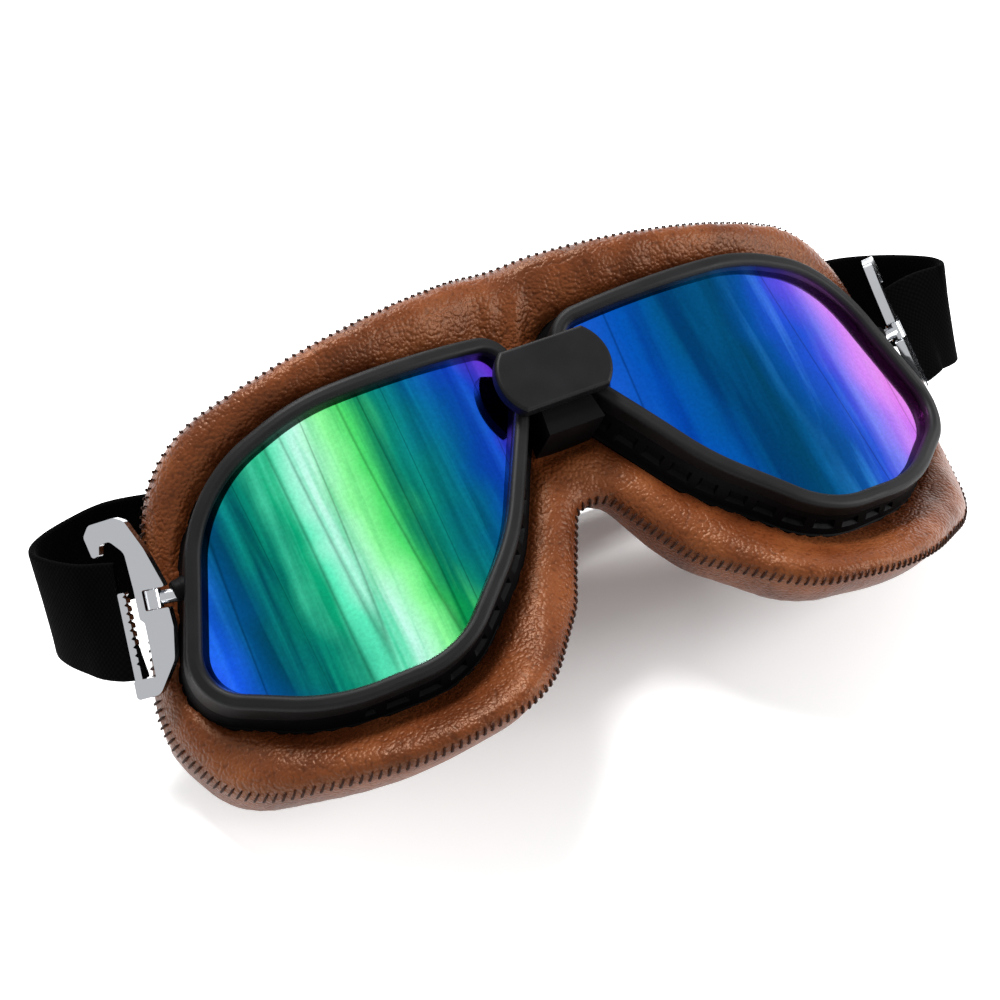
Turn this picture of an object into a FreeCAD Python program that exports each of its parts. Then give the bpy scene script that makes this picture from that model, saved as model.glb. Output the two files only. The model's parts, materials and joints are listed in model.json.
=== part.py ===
"""Aviator goggles: leather mask, two curved rims with mirrored lenses, hooks and elastic strap.

The bench frame has X across the face, Y up as worn and Z to the front. Sides are the wearer's:
left is +X and right is -X. The finished goggles lean back on the mask's lobes and the strap.
"""
import FreeCAD
import Part
import math
import os

Vector = FreeCAD.Vector
DOC = FreeCAD.newDocument("goggles")

SIZES = {
    # curved face shared by rims, lenses, cups and mask
    "face_radius": 84.0, "face_centre_x": 32.0, "face_crown": 7.0, "face_end_angle": 31.0,
    "bridge_fill_radius": 16.0, "face_half_span": 140.0, "cut_overrun": 60.0,
    # rim outline and bead
    "rim_half_gap": 4.6, "rim_top": 9.4, "rim_width": 87.0, "rim_height": 63.0,
    "rim_corner": 7.0, "rim_lip": 3.3, "rim_skirt": 1.8, "rim_round": 1.2,
    # depth stack behind the front of the rim
    "lip_depth": 2.8, "lens_thickness": 2.0, "gasket_thickness": 0.8, "cup_depth": 5.8,
    "flange_thickness": 1.6, "lens_clearance": 0.1,
    # eye cup
    "cup_inset": 1.2, "cup_wall": 2.4, "flange_reach": 1.5, "seat_clearance": 0.3,
    "vent_length": 5.0, "vent_height": 3.0, "vent_count": 9.0, "clamp_thickness": 1.5,
    # mask
    "mask_side": 3.4, "mask_brow": 15.4, "mask_cheek": 15.6, "mask_rise": 3.5,
    "cover_lip": 1.5, "cover_round": 2.6, "foam_thickness": 3.0, "lining_thickness": 4.5,
    "lining_round": 2.6, "foam_inset": 2.2, "layer_gap": 0.05,
    # bridge
    "cap_width": 25.7, "cap_height": 14.2, "cap_thickness": 3.0, "cap_y": -4.0, "cap_end_radius": 9.5,
    "cap_back": 5.2, "cap_round": 0.9, "block_top_width": 8.2, "block_low_width": 13.0,
    "block_top": 2.5, "block_low": -16.5, "rivet_diameter": 2.4, "rivet_pitch": 9.0, "rivet_length": 7.0,
    # temple lug, hook post, hinge pin and hook
    "pivot_inset": 1.4, "pivot_depth": 0.5, "lug_diameter": 5.0, "lug_length": 10.8,
    "lug_face_gap": 3.4, "post_diameter": 3.0, "post_length": 4.6, "barrel_diameter": 3.4,
    "barrel_height": 3.8, "pin_diameter": 1.4, "pin_length": 8.2, "pin_clearance": 0.03,
    "hook_tilt": 20.0, "left_swing": 50.0, "right_swing": 34.0, "left_roll": 8.0, "right_roll": 8.0,
    "hook_thickness": 2.0, "hook_width": 12.0, "hook_rise": 17.4, "hook_drop": 19.2,
    "bar_x": 5.6, "bar_width": 1.6, "bar_rise": 2.4, "bar_floor": -15.2, "bar_round": 0.4,
    "tooth_pitch": 1.7, "tooth_depth": 0.6, "tooth_count": 9.0,
    # strap and slider
    "strap_width": 24.0, "strap_thickness": 1.4, "strap_y": -3.2, "loop_radius": 1.35, "loop_height": 16.4,
    "strap_start": 8.5, "strap_reach": 20.0, "fold_tilt": 46.0, "band_half": 40.0, "band_y": -9.8,
    "band_z": -47.8, "band_tilt": 63.0, "slider_length": 12.0, "slider_wall": 1.4, "slider_gap": 0.3,
    "slider_round": 1.1,
    # rest position
    "lean_angle": 27.0,
}

RIM_SHARES = [(0.0, 0.0), (0.55, 0.0), (0.84, -0.11), (1.01, -0.74),
              (0.735, -0.99), (0.435, -1.01), (0.20, -0.70), (0.0, -0.235)]
RIM_CORNER_SHARES = [1.0, 8.0, 4.0, 1.9, 5.0, 3.2, 8.0, 2.0]
MASK_SHARES = [(0.080, 0.0), (0.386, -0.047), (0.868, -0.111), (1.022, -0.658), (0.939, -0.890),
               (0.619, -1.0), (0.323, -0.970), (0.148, -0.791), (0.036, -0.581)]
MASK_CORNER_SHARES = [0.42, 0.63, 0.23, 0.30, 0.20, 0.60, 0.26, 0.21, 0.045]
SAMPLE_SHARES = (0.0, 0.3, 0.7, 1.0)
VENT_LOW_SHARE = 0.40
VENT_END_SHARE = 0.93
PIVOT_DROP_SHARE = 0.379
HOOK_SHARES = [(0.633, -1.000), (0.200, -0.984), (-0.183, -0.651), (-0.283, -0.312), (-0.267, -0.109),
               (0.154, -0.109), (0.154, 0.121), (-0.267, 0.121), (-0.033, 0.592), (0.217, 0.943),
               (0.383, 1.000), (0.867, 0.971), (0.992, 0.851), (0.908, 0.586), (0.775, 0.609),
               (0.742, 0.724), (0.550, 0.747), (0.325, 0.586), (0.292, 0.149), (0.292, -0.177),
               (0.217, -0.229)]
HOOK_CORNER_SHARES = [0.067, 0.208, 0.333, 0.250, 0.033, 0.033, 0.033, 0.033, 0.667, 0.208, 0.100, 0.108,
                      0.108, 0.050, 0.042, 0.067, 0.117, 0.208, 0.042, 0.025, 0.025]
LEFT_FOLD_SHARES = [(0.550, 0.060, -0.300), (0.825, 0.080, -0.330), (0.890, 0.290, -0.540),
                    (0.710, 0.550, -0.800), (0.440, 0.750, -1.010), (0.145, 0.900, -1.170),
                    (-0.250, 0.970, -1.260)]
RIGHT_FOLD_SHARES = [(0.575, 0.150, -0.425), (0.730, 0.425, -0.675), (0.760, 0.635, -0.855),
                     (0.600, 0.800, -1.015), (0.270, 0.915, -1.125), (-0.070, 0.995, -1.205),
                     (-0.450, 0.950, -1.215)]
FOLD_TWIST_SHARES = [0.3, 0.6, 0.85, 1.0, 1.0, 1.0, 1.0]
SAG_SHARES = [0.25, 0.5, 0.75]

ON_FACE = 1e-3
NO_LENGTH = 1e-6
LEVEL_STEPS = 60
PATH_POINTS = 400

SHEET = DOC.addObject("Spreadsheet::Sheet", "Sizes")
for row, (alias, number) in enumerate(SIZES.items(), start=1):
    SHEET.set(f"A{row}", alias)
    SHEET.set(f"B{row}", str(number))
    SHEET.setAlias(f"B{row}", alias)
DOC.recompute()


def size(alias):
    """Value of one driving dimension, in millimetres, degrees or a count."""
    return float(SHEET.get(alias))


LENS_FRONT = size("lip_depth")
LENS_BACK = LENS_FRONT + size("lens_thickness")
CUP_FRONT = LENS_BACK + size("gasket_thickness")
FLANGE_FRONT = CUP_FRONT + size("cup_depth")
FLANGE_BACK = FLANGE_FRONT + size("flange_thickness")
COVER_FRONT = FLANGE_BACK - size("mask_rise")
COVER_BACK = FLANGE_BACK + size("cover_lip")
FOAM_BACK = COVER_BACK + size("foam_thickness")
LINING_BACK = FOAM_BACK + size("lining_thickness")
CLAMP_BACK = COVER_BACK + size("clamp_thickness")
CUP_BORE = size("cup_inset") + size("cup_wall")


def shifted(corners, distance):
    """Corners (x, y, radius) of a clockwise rounded outline, moved outwards by a distance."""
    count = len(corners)
    points = [Vector(x, y, 0) for x, y, _ in corners]
    runs = [(points[(i + 1) % count] - points[i]).normalize() for i in range(count)]
    lefts = [Vector(-run.y, run.x, 0) for run in runs]
    result = []
    for i, (point, corner) in enumerate(zip(points, corners)):
        middle = lefts[i - 1] + lefts[i]
        moved = point + middle * (2.0 * distance / (middle.Length ** 2))
        growth = distance if runs[i - 1].cross(runs[i]).z < 0.0 else -distance
        result.append((moved.x, moved.y, corner[2] + growth))
    return result


def rounded(corners):
    """Lines and tangent arcs round closed corners (x, y, radius), as sketch geometry."""
    count = len(corners)
    points = [Vector(x, y, 0) for x, y, _ in corners]
    joints = []
    for i, point in enumerate(points):
        radius = corners[i][2]
        if radius == 0.0:
            joints.append((point, None, point))
            continue
        back = (points[i - 1] - point).normalize()
        ahead = (points[(i + 1) % count] - point).normalize()
        half = 0.5 * back.getAngle(ahead)
        reach = radius / math.tan(half)
        middle = (back + ahead).normalize()
        centre = point + middle * (radius / math.sin(half))
        joints.append((point + back * reach, centre - middle * radius, point + ahead * reach))
    edges = []
    for i, (start, mid, end) in enumerate(joints):
        if mid is not None:
            edges.append(Part.Arc(start, mid, end))
        following = joints[(i + 1) % count][0]
        if end.distanceToPoint(following) > NO_LENGTH:
            edges.append(Part.LineSegment(end, following))
    return edges


def rim_corners(side, distance=0.0):
    """Corners of one rim's outline, grown by a distance and mirrored to its side."""
    inner, top = size("rim_half_gap"), size("rim_top")
    corners = [(inner + share_x * size("rim_width"), top + share_y * size("rim_height"),
                radius_share * size("rim_corner"))
               for (share_x, share_y), radius_share in zip(RIM_SHARES, RIM_CORNER_SHARES)]
    return [(side * x, y, radius) for x, y, radius in shifted(corners, distance)]


def mask_corners(distance=0.0):
    """Corners of the whole mask's outline, clockwise from the left brow."""
    wide = size("rim_half_gap") + size("rim_width") + size("mask_side")
    top = size("rim_top") + size("mask_brow")
    tall = size("mask_brow") + size("rim_height") + size("mask_cheek")
    half = [(share_x * wide, top + share_y * tall, radius_share * wide)
            for (share_x, share_y), radius_share in zip(MASK_SHARES, MASK_CORNER_SHARES)]
    whole = half + [(-x, y, radius) for x, y, radius in reversed(half)]
    return shifted(whole, distance)


def face_run(depth):
    """Curve of the face at a depth behind the rims' front, from right to left, seen from above."""
    radius = size("face_radius") - depth
    fill = size("bridge_fill_radius") + depth
    across = size("face_centre_x")
    centre_z = size("face_crown") - size("face_radius")
    fill_z = centre_z + math.sqrt((radius + fill) ** 2 - across ** 2)
    angle = math.radians(size("face_end_angle"))
    ease = fill / (radius + fill)
    dip = Vector(across * ease, fill_z - (fill_z - centre_z) * ease, 0)
    crown = Vector(across, centre_z + radius, 0)
    end = Vector(across + radius * math.sin(angle), centre_z + radius * math.cos(angle), 0)
    span = size("face_half_span")
    far = Vector(span, end.y - (span - end.x) * math.tan(angle), 0)

    def other(point):
        return Vector(-point.x, point.y, 0)

    edges = [Part.LineSegment(other(far), other(end)), Part.Arc(other(end), other(crown), other(dip)),
             Part.Arc(other(dip), Vector(0, fill_z - fill, 0), dip), Part.Arc(dip, crown, end),
             Part.LineSegment(end, far)]
    return edges, other(far), far


def face_depth(point):
    """Depth of a bench point behind the rims' front, square to the curved face."""
    across = size("face_centre_x")
    radius = size("face_radius")
    centre_z = size("face_crown") - radius
    fill_z = centre_z + math.sqrt((radius + size("bridge_fill_radius")) ** 2 - across ** 2)
    angle = math.radians(size("face_end_angle"))
    x, z = abs(point.x), point.z
    bearing = math.atan2(x - across, z - centre_z)
    if bearing > angle:
        return radius - ((x - across) * math.sin(angle) + (z - centre_z) * math.cos(angle))
    if x / max(fill_z - z, NO_LENGTH) < across / (fill_z - centre_z):
        return math.hypot(x, z - fill_z) - size("bridge_fill_radius")
    return radius - math.hypot(x - across, z - centre_z)


def new_body(label):
    """A named body of the document."""
    body = DOC.addObject("PartDesign::Body", label)
    body.Label = label
    return body


def new_sketch(body, name, role, loops):
    """A sketch on one origin plane of the body, holding closed loops of geometry."""
    sketch = body.newObject("Sketcher::SketchObject", name)
    plane = [item for item in body.Origin.OriginFeatures if item.Role == role][0]
    sketch.AttachmentSupport = [(plane, "")]
    sketch.MapMode = "FlatFace"
    for loop in loops:
        for edge in loop:
            sketch.addGeometry(edge)
    return sketch


def pad(body, name, role, loops, length_expression, symmetric=True):
    """Pads loops, whose length follows the sheet."""
    feature = body.newObject("PartDesign::Pad", name)
    feature.Profile = new_sketch(body, name + "_sketch", role, loops)
    feature.SideType = "Symmetric" if symmetric else "One side"
    feature.setExpression("Length", length_expression)
    return feature


def pocket(body, name, role, loops):
    """Cuts loops through the body both ways."""
    feature = body.newObject("PartDesign::Pocket", name)
    feature.Profile = new_sketch(body, name + "_sketch", role, loops)
    feature.Type = "ThroughAll"
    feature.SideType = "Symmetric"
    return feature


def face_cut(body, name, depth, front):
    """Trims the body to the curved face at a depth, on its front or on its back."""
    edges, first, last = face_run(depth)
    level = size("face_crown") + size("cut_overrun") if front else -2.0 * size("cut_overrun")
    left = Vector(last.x, level, 0)
    right = Vector(first.x, level, 0)
    edges += [Part.LineSegment(last, left), Part.LineSegment(left, right), Part.LineSegment(right, first)]
    return pocket(body, name, "XZ_Plane", [edges])


def curved_plate(label, loops, front, back):
    """Plate with loops as its outline, between two depths of the curved face."""
    body = new_body(label)
    pad(body, label + "_pad", "XY_Plane", loops, "2 * Sizes.cut_overrun")
    if front is not None:
        face_cut(body, label + "_front", front, True)
    if back is not None:
        face_cut(body, label + "_back", back, False)
    DOC.recompute()
    return body


def rim_plate(label, side, outer, inner, front, back):
    """Ring or disc that follows one rim's outline between two depths."""
    loops = [rounded(rim_corners(side, outer))]
    if inner is not None:
        loops.append(rounded(rim_corners(side, inner)))
    return curved_plate(label, loops, front, back)


def edges_at(shape, depth):
    """Names of the edges that lie on the curved face at a depth and aren't its own seams."""
    names = []
    for number, edge in enumerate(shape.Edges, start=1):
        first, last = edge.ParameterRange
        samples = [edge.valueAt(first + (last - first) * share) for share in SAMPLE_SHARES]
        if max(abs(face_depth(point) - depth) for point in samples) > ON_FACE:
            continue
        middle = samples[2] - samples[1]
        spans_outline = math.hypot(middle.x, middle.z) > ON_FACE
        if spans_outline or not on_one_face(shape, edge, depth):
            names.append(f"Edge{number}")
    return names


def on_one_face(shape, edge, depth):
    """True where both faces beside an edge lie on the curved face at a depth."""
    beside = [face for face in shape.Faces if any(edge.isSame(other) for other in face.Edges)]
    return all(max(abs(face_depth(vertex.Point) - depth) for vertex in face.Vertexes) < ON_FACE
               for face in beside)


def soften(body, name, depth, radius_alias):
    """Rounds the edges of the body that lie at a depth of the curved face."""
    base = body.Tip
    names = edges_at(base.Shape, depth)
    feature = body.newObject("PartDesign::Fillet", name)
    feature.Base = (base, names)
    feature.setExpression("Radius", "Sizes." + radius_alias)
    DOC.recompute()
    return feature


def cut(label, base, tools):
    """A named object that is the base with the tools taken away."""
    for number, tool in enumerate(tools):
        last = number == len(tools) - 1
        result = DOC.addObject("Part::Cut", label if last else f"{label}_cut{number}")
        result.Base = base
        result.Tool = tool
        base = result
    base.Label = label
    DOC.recompute()
    return base


def fuse(label, shapes):
    """A named object that joins shapes of one moulding."""
    result = DOC.addObject("Part::MultiFuse", label)
    result.Shapes = shapes
    result.Refine = True
    result.Label = label
    DOC.recompute()
    return result


PIECES = {}


def keep(label, item, place=None):
    """Lists an object as a finished piece, and puts it in its place in the bench frame."""
    if place:
        item.Placement = place * item.Placement
    PIECES[label] = item


def make_rim(name, side):
    """Front rim: a rounded bead whose lip holds the lens and whose skirt covers the cup."""
    ring = rim_plate(f"{name}_rim_ring", side, 0.0, -size("rim_lip"), 0.0, CUP_FRONT)
    soften(ring, f"{name}_rim_bead", 0.0, "rim_round")
    seat = rim_plate(f"{name}_rim_seat", side, -size("rim_skirt"), None, LENS_FRONT,
                     CUP_FRONT + size("cut_overrun"))
    keep(f"{name}_rim", cut(f"{name}_rim", ring, [seat]))


def make_lens(name, side):
    """Curved lens and the soft gasket behind its edge."""
    edge = -size("rim_skirt") - size("lens_clearance")
    keep(f"{name}_lens", rim_plate(f"{name}_lens", side, edge, None, LENS_FRONT, LENS_BACK))
    keep(f"{name}_gasket", rim_plate(f"{name}_gasket", side, edge, -CUP_BORE, LENS_BACK, CUP_FRONT))


def make_cup(name, side):
    """Eye cup: a vented wall and the flange that presses on the leather."""
    wall = rim_plate(f"{name}_cup_wall", side, -size("cup_inset"), -CUP_BORE, CUP_FRONT, FLANGE_BACK)
    flange = rim_plate(f"{name}_cup_flange", side, size("flange_reach"), -CUP_BORE, FLANGE_FRONT, FLANGE_BACK)
    shell = fuse(f"{name}_cup_shell", [wall, flange])
    windows = make_vents(name, side)
    keep(f"{name}_eye_cup", cut(f"{name}_eye_cup", shell, [windows]))
    keep(f"{name}_clamp_ring", rim_plate(f"{name}_clamp_ring", side, size("flange_reach"), -CUP_BORE,
                                         COVER_BACK, CLAMP_BACK))


def make_vents(name, side):
    """Row of rectangular vent windows along the cheek and the nose side of one cup."""
    corners = rim_corners(side, -size("cup_inset") - 0.5 * size("cup_wall"))
    path = Part.Wire([edge.toShape() for edge in rounded(corners)])
    points = path.discretize(PATH_POINTS)
    cheek = [index for index, point in enumerate(points) if point.y < -VENT_LOW_SHARE * size("rim_height")]
    nose_end = [index for index in cheek if abs(points[index].x) < VENT_END_SHARE * size("rim_width")]
    count = int(size("vent_count"))
    boxes = []
    for number in range(count):
        index = nose_end[int((number + 0.5) / count * len(nose_end))]
        here = points[index]
        along = points[(index + 1) % len(points)] - here
        middle = 0.5 * (CUP_FRONT + FLANGE_FRONT)
        box = DOC.addObject("Part::Box", f"{name}_vent{number}")
        box.setExpression("Length", "Sizes.vent_length")
        box.setExpression("Width", "4 * Sizes.cup_wall")
        box.setExpression("Height", "Sizes.vent_height")
        turn = FreeCAD.Rotation(Vector(0, 0, 1), math.degrees(math.atan2(along.y, along.x)))
        corner = turn.multVec(Vector(-0.5 * size("vent_length"), -2.0 * size("cup_wall"), 0))
        level = face_level(abs(here.x), middle) - 0.5 * size("vent_height")
        box.Placement = FreeCAD.Placement(Vector(here.x, here.y, level) + corner, turn)
        boxes.append(box)
    return fuse(f"{name}_vents", boxes)


def face_level(across, depth):
    """Height to the front of the curved face at a depth, above a place across the face."""
    low = -4.0 * size("cut_overrun")
    high = size("face_crown") + size("cut_overrun")
    for _ in range(LEVEL_STEPS):
        middle = 0.5 * (low + high)
        if face_depth(Vector(across, 0, middle)) > depth:
            low = middle
        else:
            high = middle
    return 0.5 * (low + high)


def make_mask():
    """Leather cover, foam core and leather lining, pierced for both eyes."""
    gap = size("layer_gap")
    holes = [rounded(rim_corners(side, -CUP_BORE)) for side in (1, -1)]
    seat = size("flange_reach") + size("seat_clearance")
    wide_holes = [rounded(rim_corners(side, seat)) for side in (1, -1)]
    cover = curved_plate("cover_blank", [rounded(mask_corners())], COVER_FRONT, COVER_BACK - gap)
    soften(cover, "cover_edge", COVER_FRONT, "cover_round")
    seats = [rim_plate(f"{name}_flange_seat", side, seat, None, None, FLANGE_BACK) for name, side in SIDES]
    bores = [curved_plate(f"{name}_cover_bore", [hole], None, None)
             for (name, _), hole in zip(SIDES, holes)]
    keep("mask_cover", cut("mask_cover", cover, seats + bores))
    core = rounded(mask_corners(-size("foam_inset")))
    foam = curved_plate("mask_foam", [core] + wide_holes, COVER_BACK, FOAM_BACK - gap)
    keep("mask_foam", foam)
    lining = curved_plate("lining_blank", [rounded(mask_corners())], FOAM_BACK, LINING_BACK)
    soften(lining, "lining_edge", LINING_BACK, "lining_round")
    mouths = [curved_plate(f"{name}_lining_bore", [hole], None, None)
              for (name, _), hole in zip(SIDES, holes)]
    keep("mask_lining", cut("mask_lining", lining, mouths))


def make_bridge():
    """Nose bridge: a block between the rims, its cap and the two rivets that hold the cap."""
    block = new_body("bridge_blank")
    seat_level = Vector(0, 0, size("cap_back"))
    low, high = 0.5 * size("block_low_width"), 0.5 * size("block_top_width")
    outline = [(-high, size("block_top"), 0.0), (high, size("block_top"), 0.0),
               (low, size("block_low"), 0.0), (-low, size("block_low"), 0.0)]
    feature = pad(block, "bridge_pad", "XY_Plane", [rounded(outline)], "Sizes.cut_overrun", symmetric=False)
    feature.Reversed = True
    feature.Profile[0].AttachmentOffset = FreeCAD.Placement(seat_level, FreeCAD.Rotation())
    face_cut(block, "bridge_back", COVER_FRONT - size("layer_gap"), False)
    DOC.recompute()
    cap = new_body("cap_blank")
    half, rise = 0.5 * size("cap_width"), 0.5 * size("cap_height")
    radius = size("cap_end_radius")
    sag = radius - math.sqrt(radius ** 2 - rise ** 2)
    top, bottom, middle = size("cap_y") + rise, size("cap_y") - rise, size("cap_y")
    loop = [Part.LineSegment(Vector(sag - half, top, 0), Vector(half - sag, top, 0)),
            Part.Arc(Vector(half - sag, top, 0), Vector(half, middle, 0), Vector(half - sag, bottom, 0)),
            Part.LineSegment(Vector(half - sag, bottom, 0), Vector(sag - half, bottom, 0)),
            Part.Arc(Vector(sag - half, bottom, 0), Vector(-half, middle, 0), Vector(sag - half, top, 0))]
    feature = pad(cap, "cap_pad", "XY_Plane", [loop], "Sizes.cap_thickness", symmetric=False)
    feature.Profile[0].AttachmentOffset = FreeCAD.Placement(seat_level, FreeCAD.Rotation())
    DOC.recompute()
    mid_level = size("cap_back") + 0.5 * size("cap_thickness")
    top_edges = [f"Edge{number}" for number, edge in enumerate(feature.Shape.Edges, start=1)
                 if min(vertex.Z for vertex in edge.Vertexes) > mid_level]
    rounding = cap.newObject("PartDesign::Fillet", "cap_rounding")
    rounding.Base = (feature, top_edges)
    rounding.setExpression("Radius", "Sizes.cap_round")
    DOC.recompute()
    rivets = []
    for number, way in enumerate((-1, 1)):
        rivet = DOC.addObject("Part::Cylinder", f"rivet{number}")
        rivet.setExpression("Radius", "Sizes.rivet_diameter / 2")
        rivet.setExpression("Height", "Sizes.rivet_length")
        place = Vector(0, size("cap_y") + way * 0.5 * size("rivet_pitch"), mid_level - size("rivet_length"))
        rivet.Placement = FreeCAD.Placement(place, FreeCAD.Rotation())
        rivets.append(rivet)
    pair = fuse("bridge_rivets", rivets)
    keep("bridge_rivets", pair)
    keep("bridge_cap", cut("bridge_cap", cap, [pair]))
    keep("bridge_block", cut("bridge_block", block, [pair]))


def hook_base(side):
    """Place of a hook's post and hinge: the pivot beside the rim, with its side's roll and tilt."""
    name = "left" if side > 0 else "right"
    across = size("rim_half_gap") + size("rim_width") - size("pivot_inset")
    drop = size("rim_top") - PIVOT_DROP_SHARE * size("rim_height")
    pivot = Vector(side * across, drop, face_level(across, size("pivot_depth")))
    roll = FreeCAD.Rotation(Vector(0, 0, 1), side * size(name + "_roll"))
    tilt = FreeCAD.Rotation(Vector(1, 0, 0), size("hook_tilt"))
    return FreeCAD.Placement(pivot, roll * tilt)


def hook_place(side):
    """Place of a hook's own frame: its hinge, swung back to its rest angle."""
    name = "left" if side > 0 else "right"
    swing = FreeCAD.Rotation(Vector(0, 1, 0), side * size(name + "_swing"))
    return hook_base(side) * FreeCAD.Placement(Vector(0, 0, 0), swing)


def upright(label, radius_expression, height_alias):
    """Cylinder along the hinge, centred on the pivot."""
    item = DOC.addObject("Part::Cylinder", label)
    item.setExpression("Radius", radius_expression)
    item.setExpression("Height", "Sizes." + height_alias)
    turn = FreeCAD.Rotation(Vector(1, 0, 0), 90)
    item.Placement = FreeCAD.Placement(Vector(0, 0.5 * size(height_alias), 0), turn)
    return item


def make_post(name, side):
    """Chrome post that carries the hinge's barrel, and the moulded lug that holds it on the rim."""
    shaft = DOC.addObject("Part::Cylinder", f"{name}_post_shaft")
    shaft.setExpression("Radius", "Sizes.post_diameter / 2")
    shaft.setExpression("Height", "Sizes.post_length")
    shaft.Placement = FreeCAD.Placement(Vector(0, 0, 0), FreeCAD.Rotation(Vector(0, 1, 0), -90 * side))
    barrel = upright(f"{name}_post_barrel", "Sizes.barrel_diameter / 2", "barrel_height")
    bore = upright(f"{name}_post_bore", "Sizes.pin_diameter / 2 + Sizes.pin_clearance", "pin_length")
    post = cut(f"{name}_hook_post", fuse(f"{name}_post_blank", [shaft, barrel]), [bore])
    keep(f"{name}_hook_post", post, hook_base(side))
    boss = DOC.addObject("Part::Cylinder", f"{name}_lug_boss")
    boss.setExpression("Radius", "Sizes.lug_diameter / 2")
    boss.setExpression("Height", "Sizes.lug_length")
    root = hook_base(side).Base - Vector(side * (size("lug_face_gap") + size("lug_length")), 0, 0)
    boss.Placement = FreeCAD.Placement(root, FreeCAD.Rotation(Vector(0, 1, 0), 90 * side))
    rim = rim_plate(f"{name}_lug_seat", side, 0.0, None, None, None)
    keep(f"{name}_temple_lug", cut(f"{name}_temple_lug", boss, [rim, post]))


def make_hook(name, side):
    """Strap hook: a flat C-shaped plate with a toothed bar, pinned to the barrel of its post."""
    pin = upright(f"{name}_hook_pin", "Sizes.pin_diameter / 2", "pin_length")
    bore = upright(f"{name}_hook_bore", "Sizes.pin_diameter / 2", "pin_length")
    plate = make_plate(name, side)
    hook = cut(f"{name}_strap_hook", plate, [bore])
    keep(f"{name}_strap_hook", hook, hook_place(side))
    keep(f"{name}_hook_pin", pin, hook_place(side))


def make_plate(name, side):
    """Flat part of a hook with its tip, its foot, the hinge's slot and the row of teeth along its bar."""
    plate = new_body(f"{name}_hook_plate")
    wide, rise, drop = size("hook_width"), size("hook_rise"), size("hook_drop")
    corners = [(side * share_x * wide, share_y * (rise if share_y > 0 else drop), radius_share * wide)
               for (share_x, share_y), radius_share in zip(HOOK_SHARES, HOOK_CORNER_SHARES)]
    bar_in, bar_out = size("bar_x"), size("bar_x") + size("bar_width")
    floor, top, soft = size("bar_floor"), size("bar_rise"), size("bar_round")
    corners += [(corners[-1][0], floor, 0.0), (side * bar_in, floor, 0.0),
                (side * bar_in, top, soft), (side * bar_out, top, soft),
                (side * bar_out, floor, 0.0), (corners[0][0], floor - soft, soft)]
    pad(plate, f"{name}_plate_pad", "XY_Plane", [rounded(corners)], "Sizes.hook_thickness")
    pitch, deep = size("tooth_pitch"), size("tooth_depth")
    for number in range(int(size("tooth_count"))):
        level = size("bar_rise") - (number + 1.0) * pitch
        face = side * (bar_in - deep)
        points = [Vector(face, level + pitch, 0), Vector(side * (bar_in + deep), level + 0.5 * pitch, 0),
                  Vector(face, level, 0)]
        pocket(plate, f"{name}_tooth{number}", "XY_Plane",
               [[Part.LineSegment(points[i], points[(i + 1) % 3]) for i in range(3)]])
    DOC.recompute()
    return plate


def band_place():
    """Place of the strap's rear band, which stands on its edge behind the mask."""
    return FreeCAD.Placement(Vector(0, size("band_y"), size("band_z")),
                             FreeCAD.Rotation(Vector(1, 0, 0), size("band_tilt")))


def strap_stations(side):
    """Points along the middle of a strap end with the direction of its width, from hook to band."""
    place = hook_place(side)
    start = place.multVec(Vector(side * size("strap_start"), size("strap_y"), 0))
    stations = [(start, place.Rotation.multVec(Vector(0, 1, 0)))]
    pivot, tilt = place.Base, size("hook_tilt")
    folds = LEFT_FOLD_SHARES if side > 0 else RIGHT_FOLD_SHARES
    for shares, twist_share in zip(folds, FOLD_TWIST_SHARES):
        point = pivot + Vector(side * shares[0], shares[1], shares[2]) * size("strap_reach")
        stations.append((point, width_way(tilt + (size("fold_tilt") - tilt) * twist_share)))
    last = stations[-1][0]
    goal = Vector(side * size("band_half"), size("band_y"), size("band_z"))
    for share in SAG_SHARES:
        ease = share * share * (3.0 - 2.0 * share)
        point = Vector(last.x + (goal.x - last.x) * share, last.y + (goal.y - last.y) * ease,
                       last.z + (goal.z - last.z) * ease)
        twist = size("fold_tilt") + (size("band_tilt") - size("fold_tilt")) * ease
        stations.append((point, width_way(twist)))
    stations.append((goal, width_way(size("band_tilt"))))
    return stations


def width_way(tilt):
    """Direction of the strap's width at a tilt about the X axis."""
    return Vector(0, math.cos(math.radians(tilt)), math.sin(math.radians(tilt)))


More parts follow.
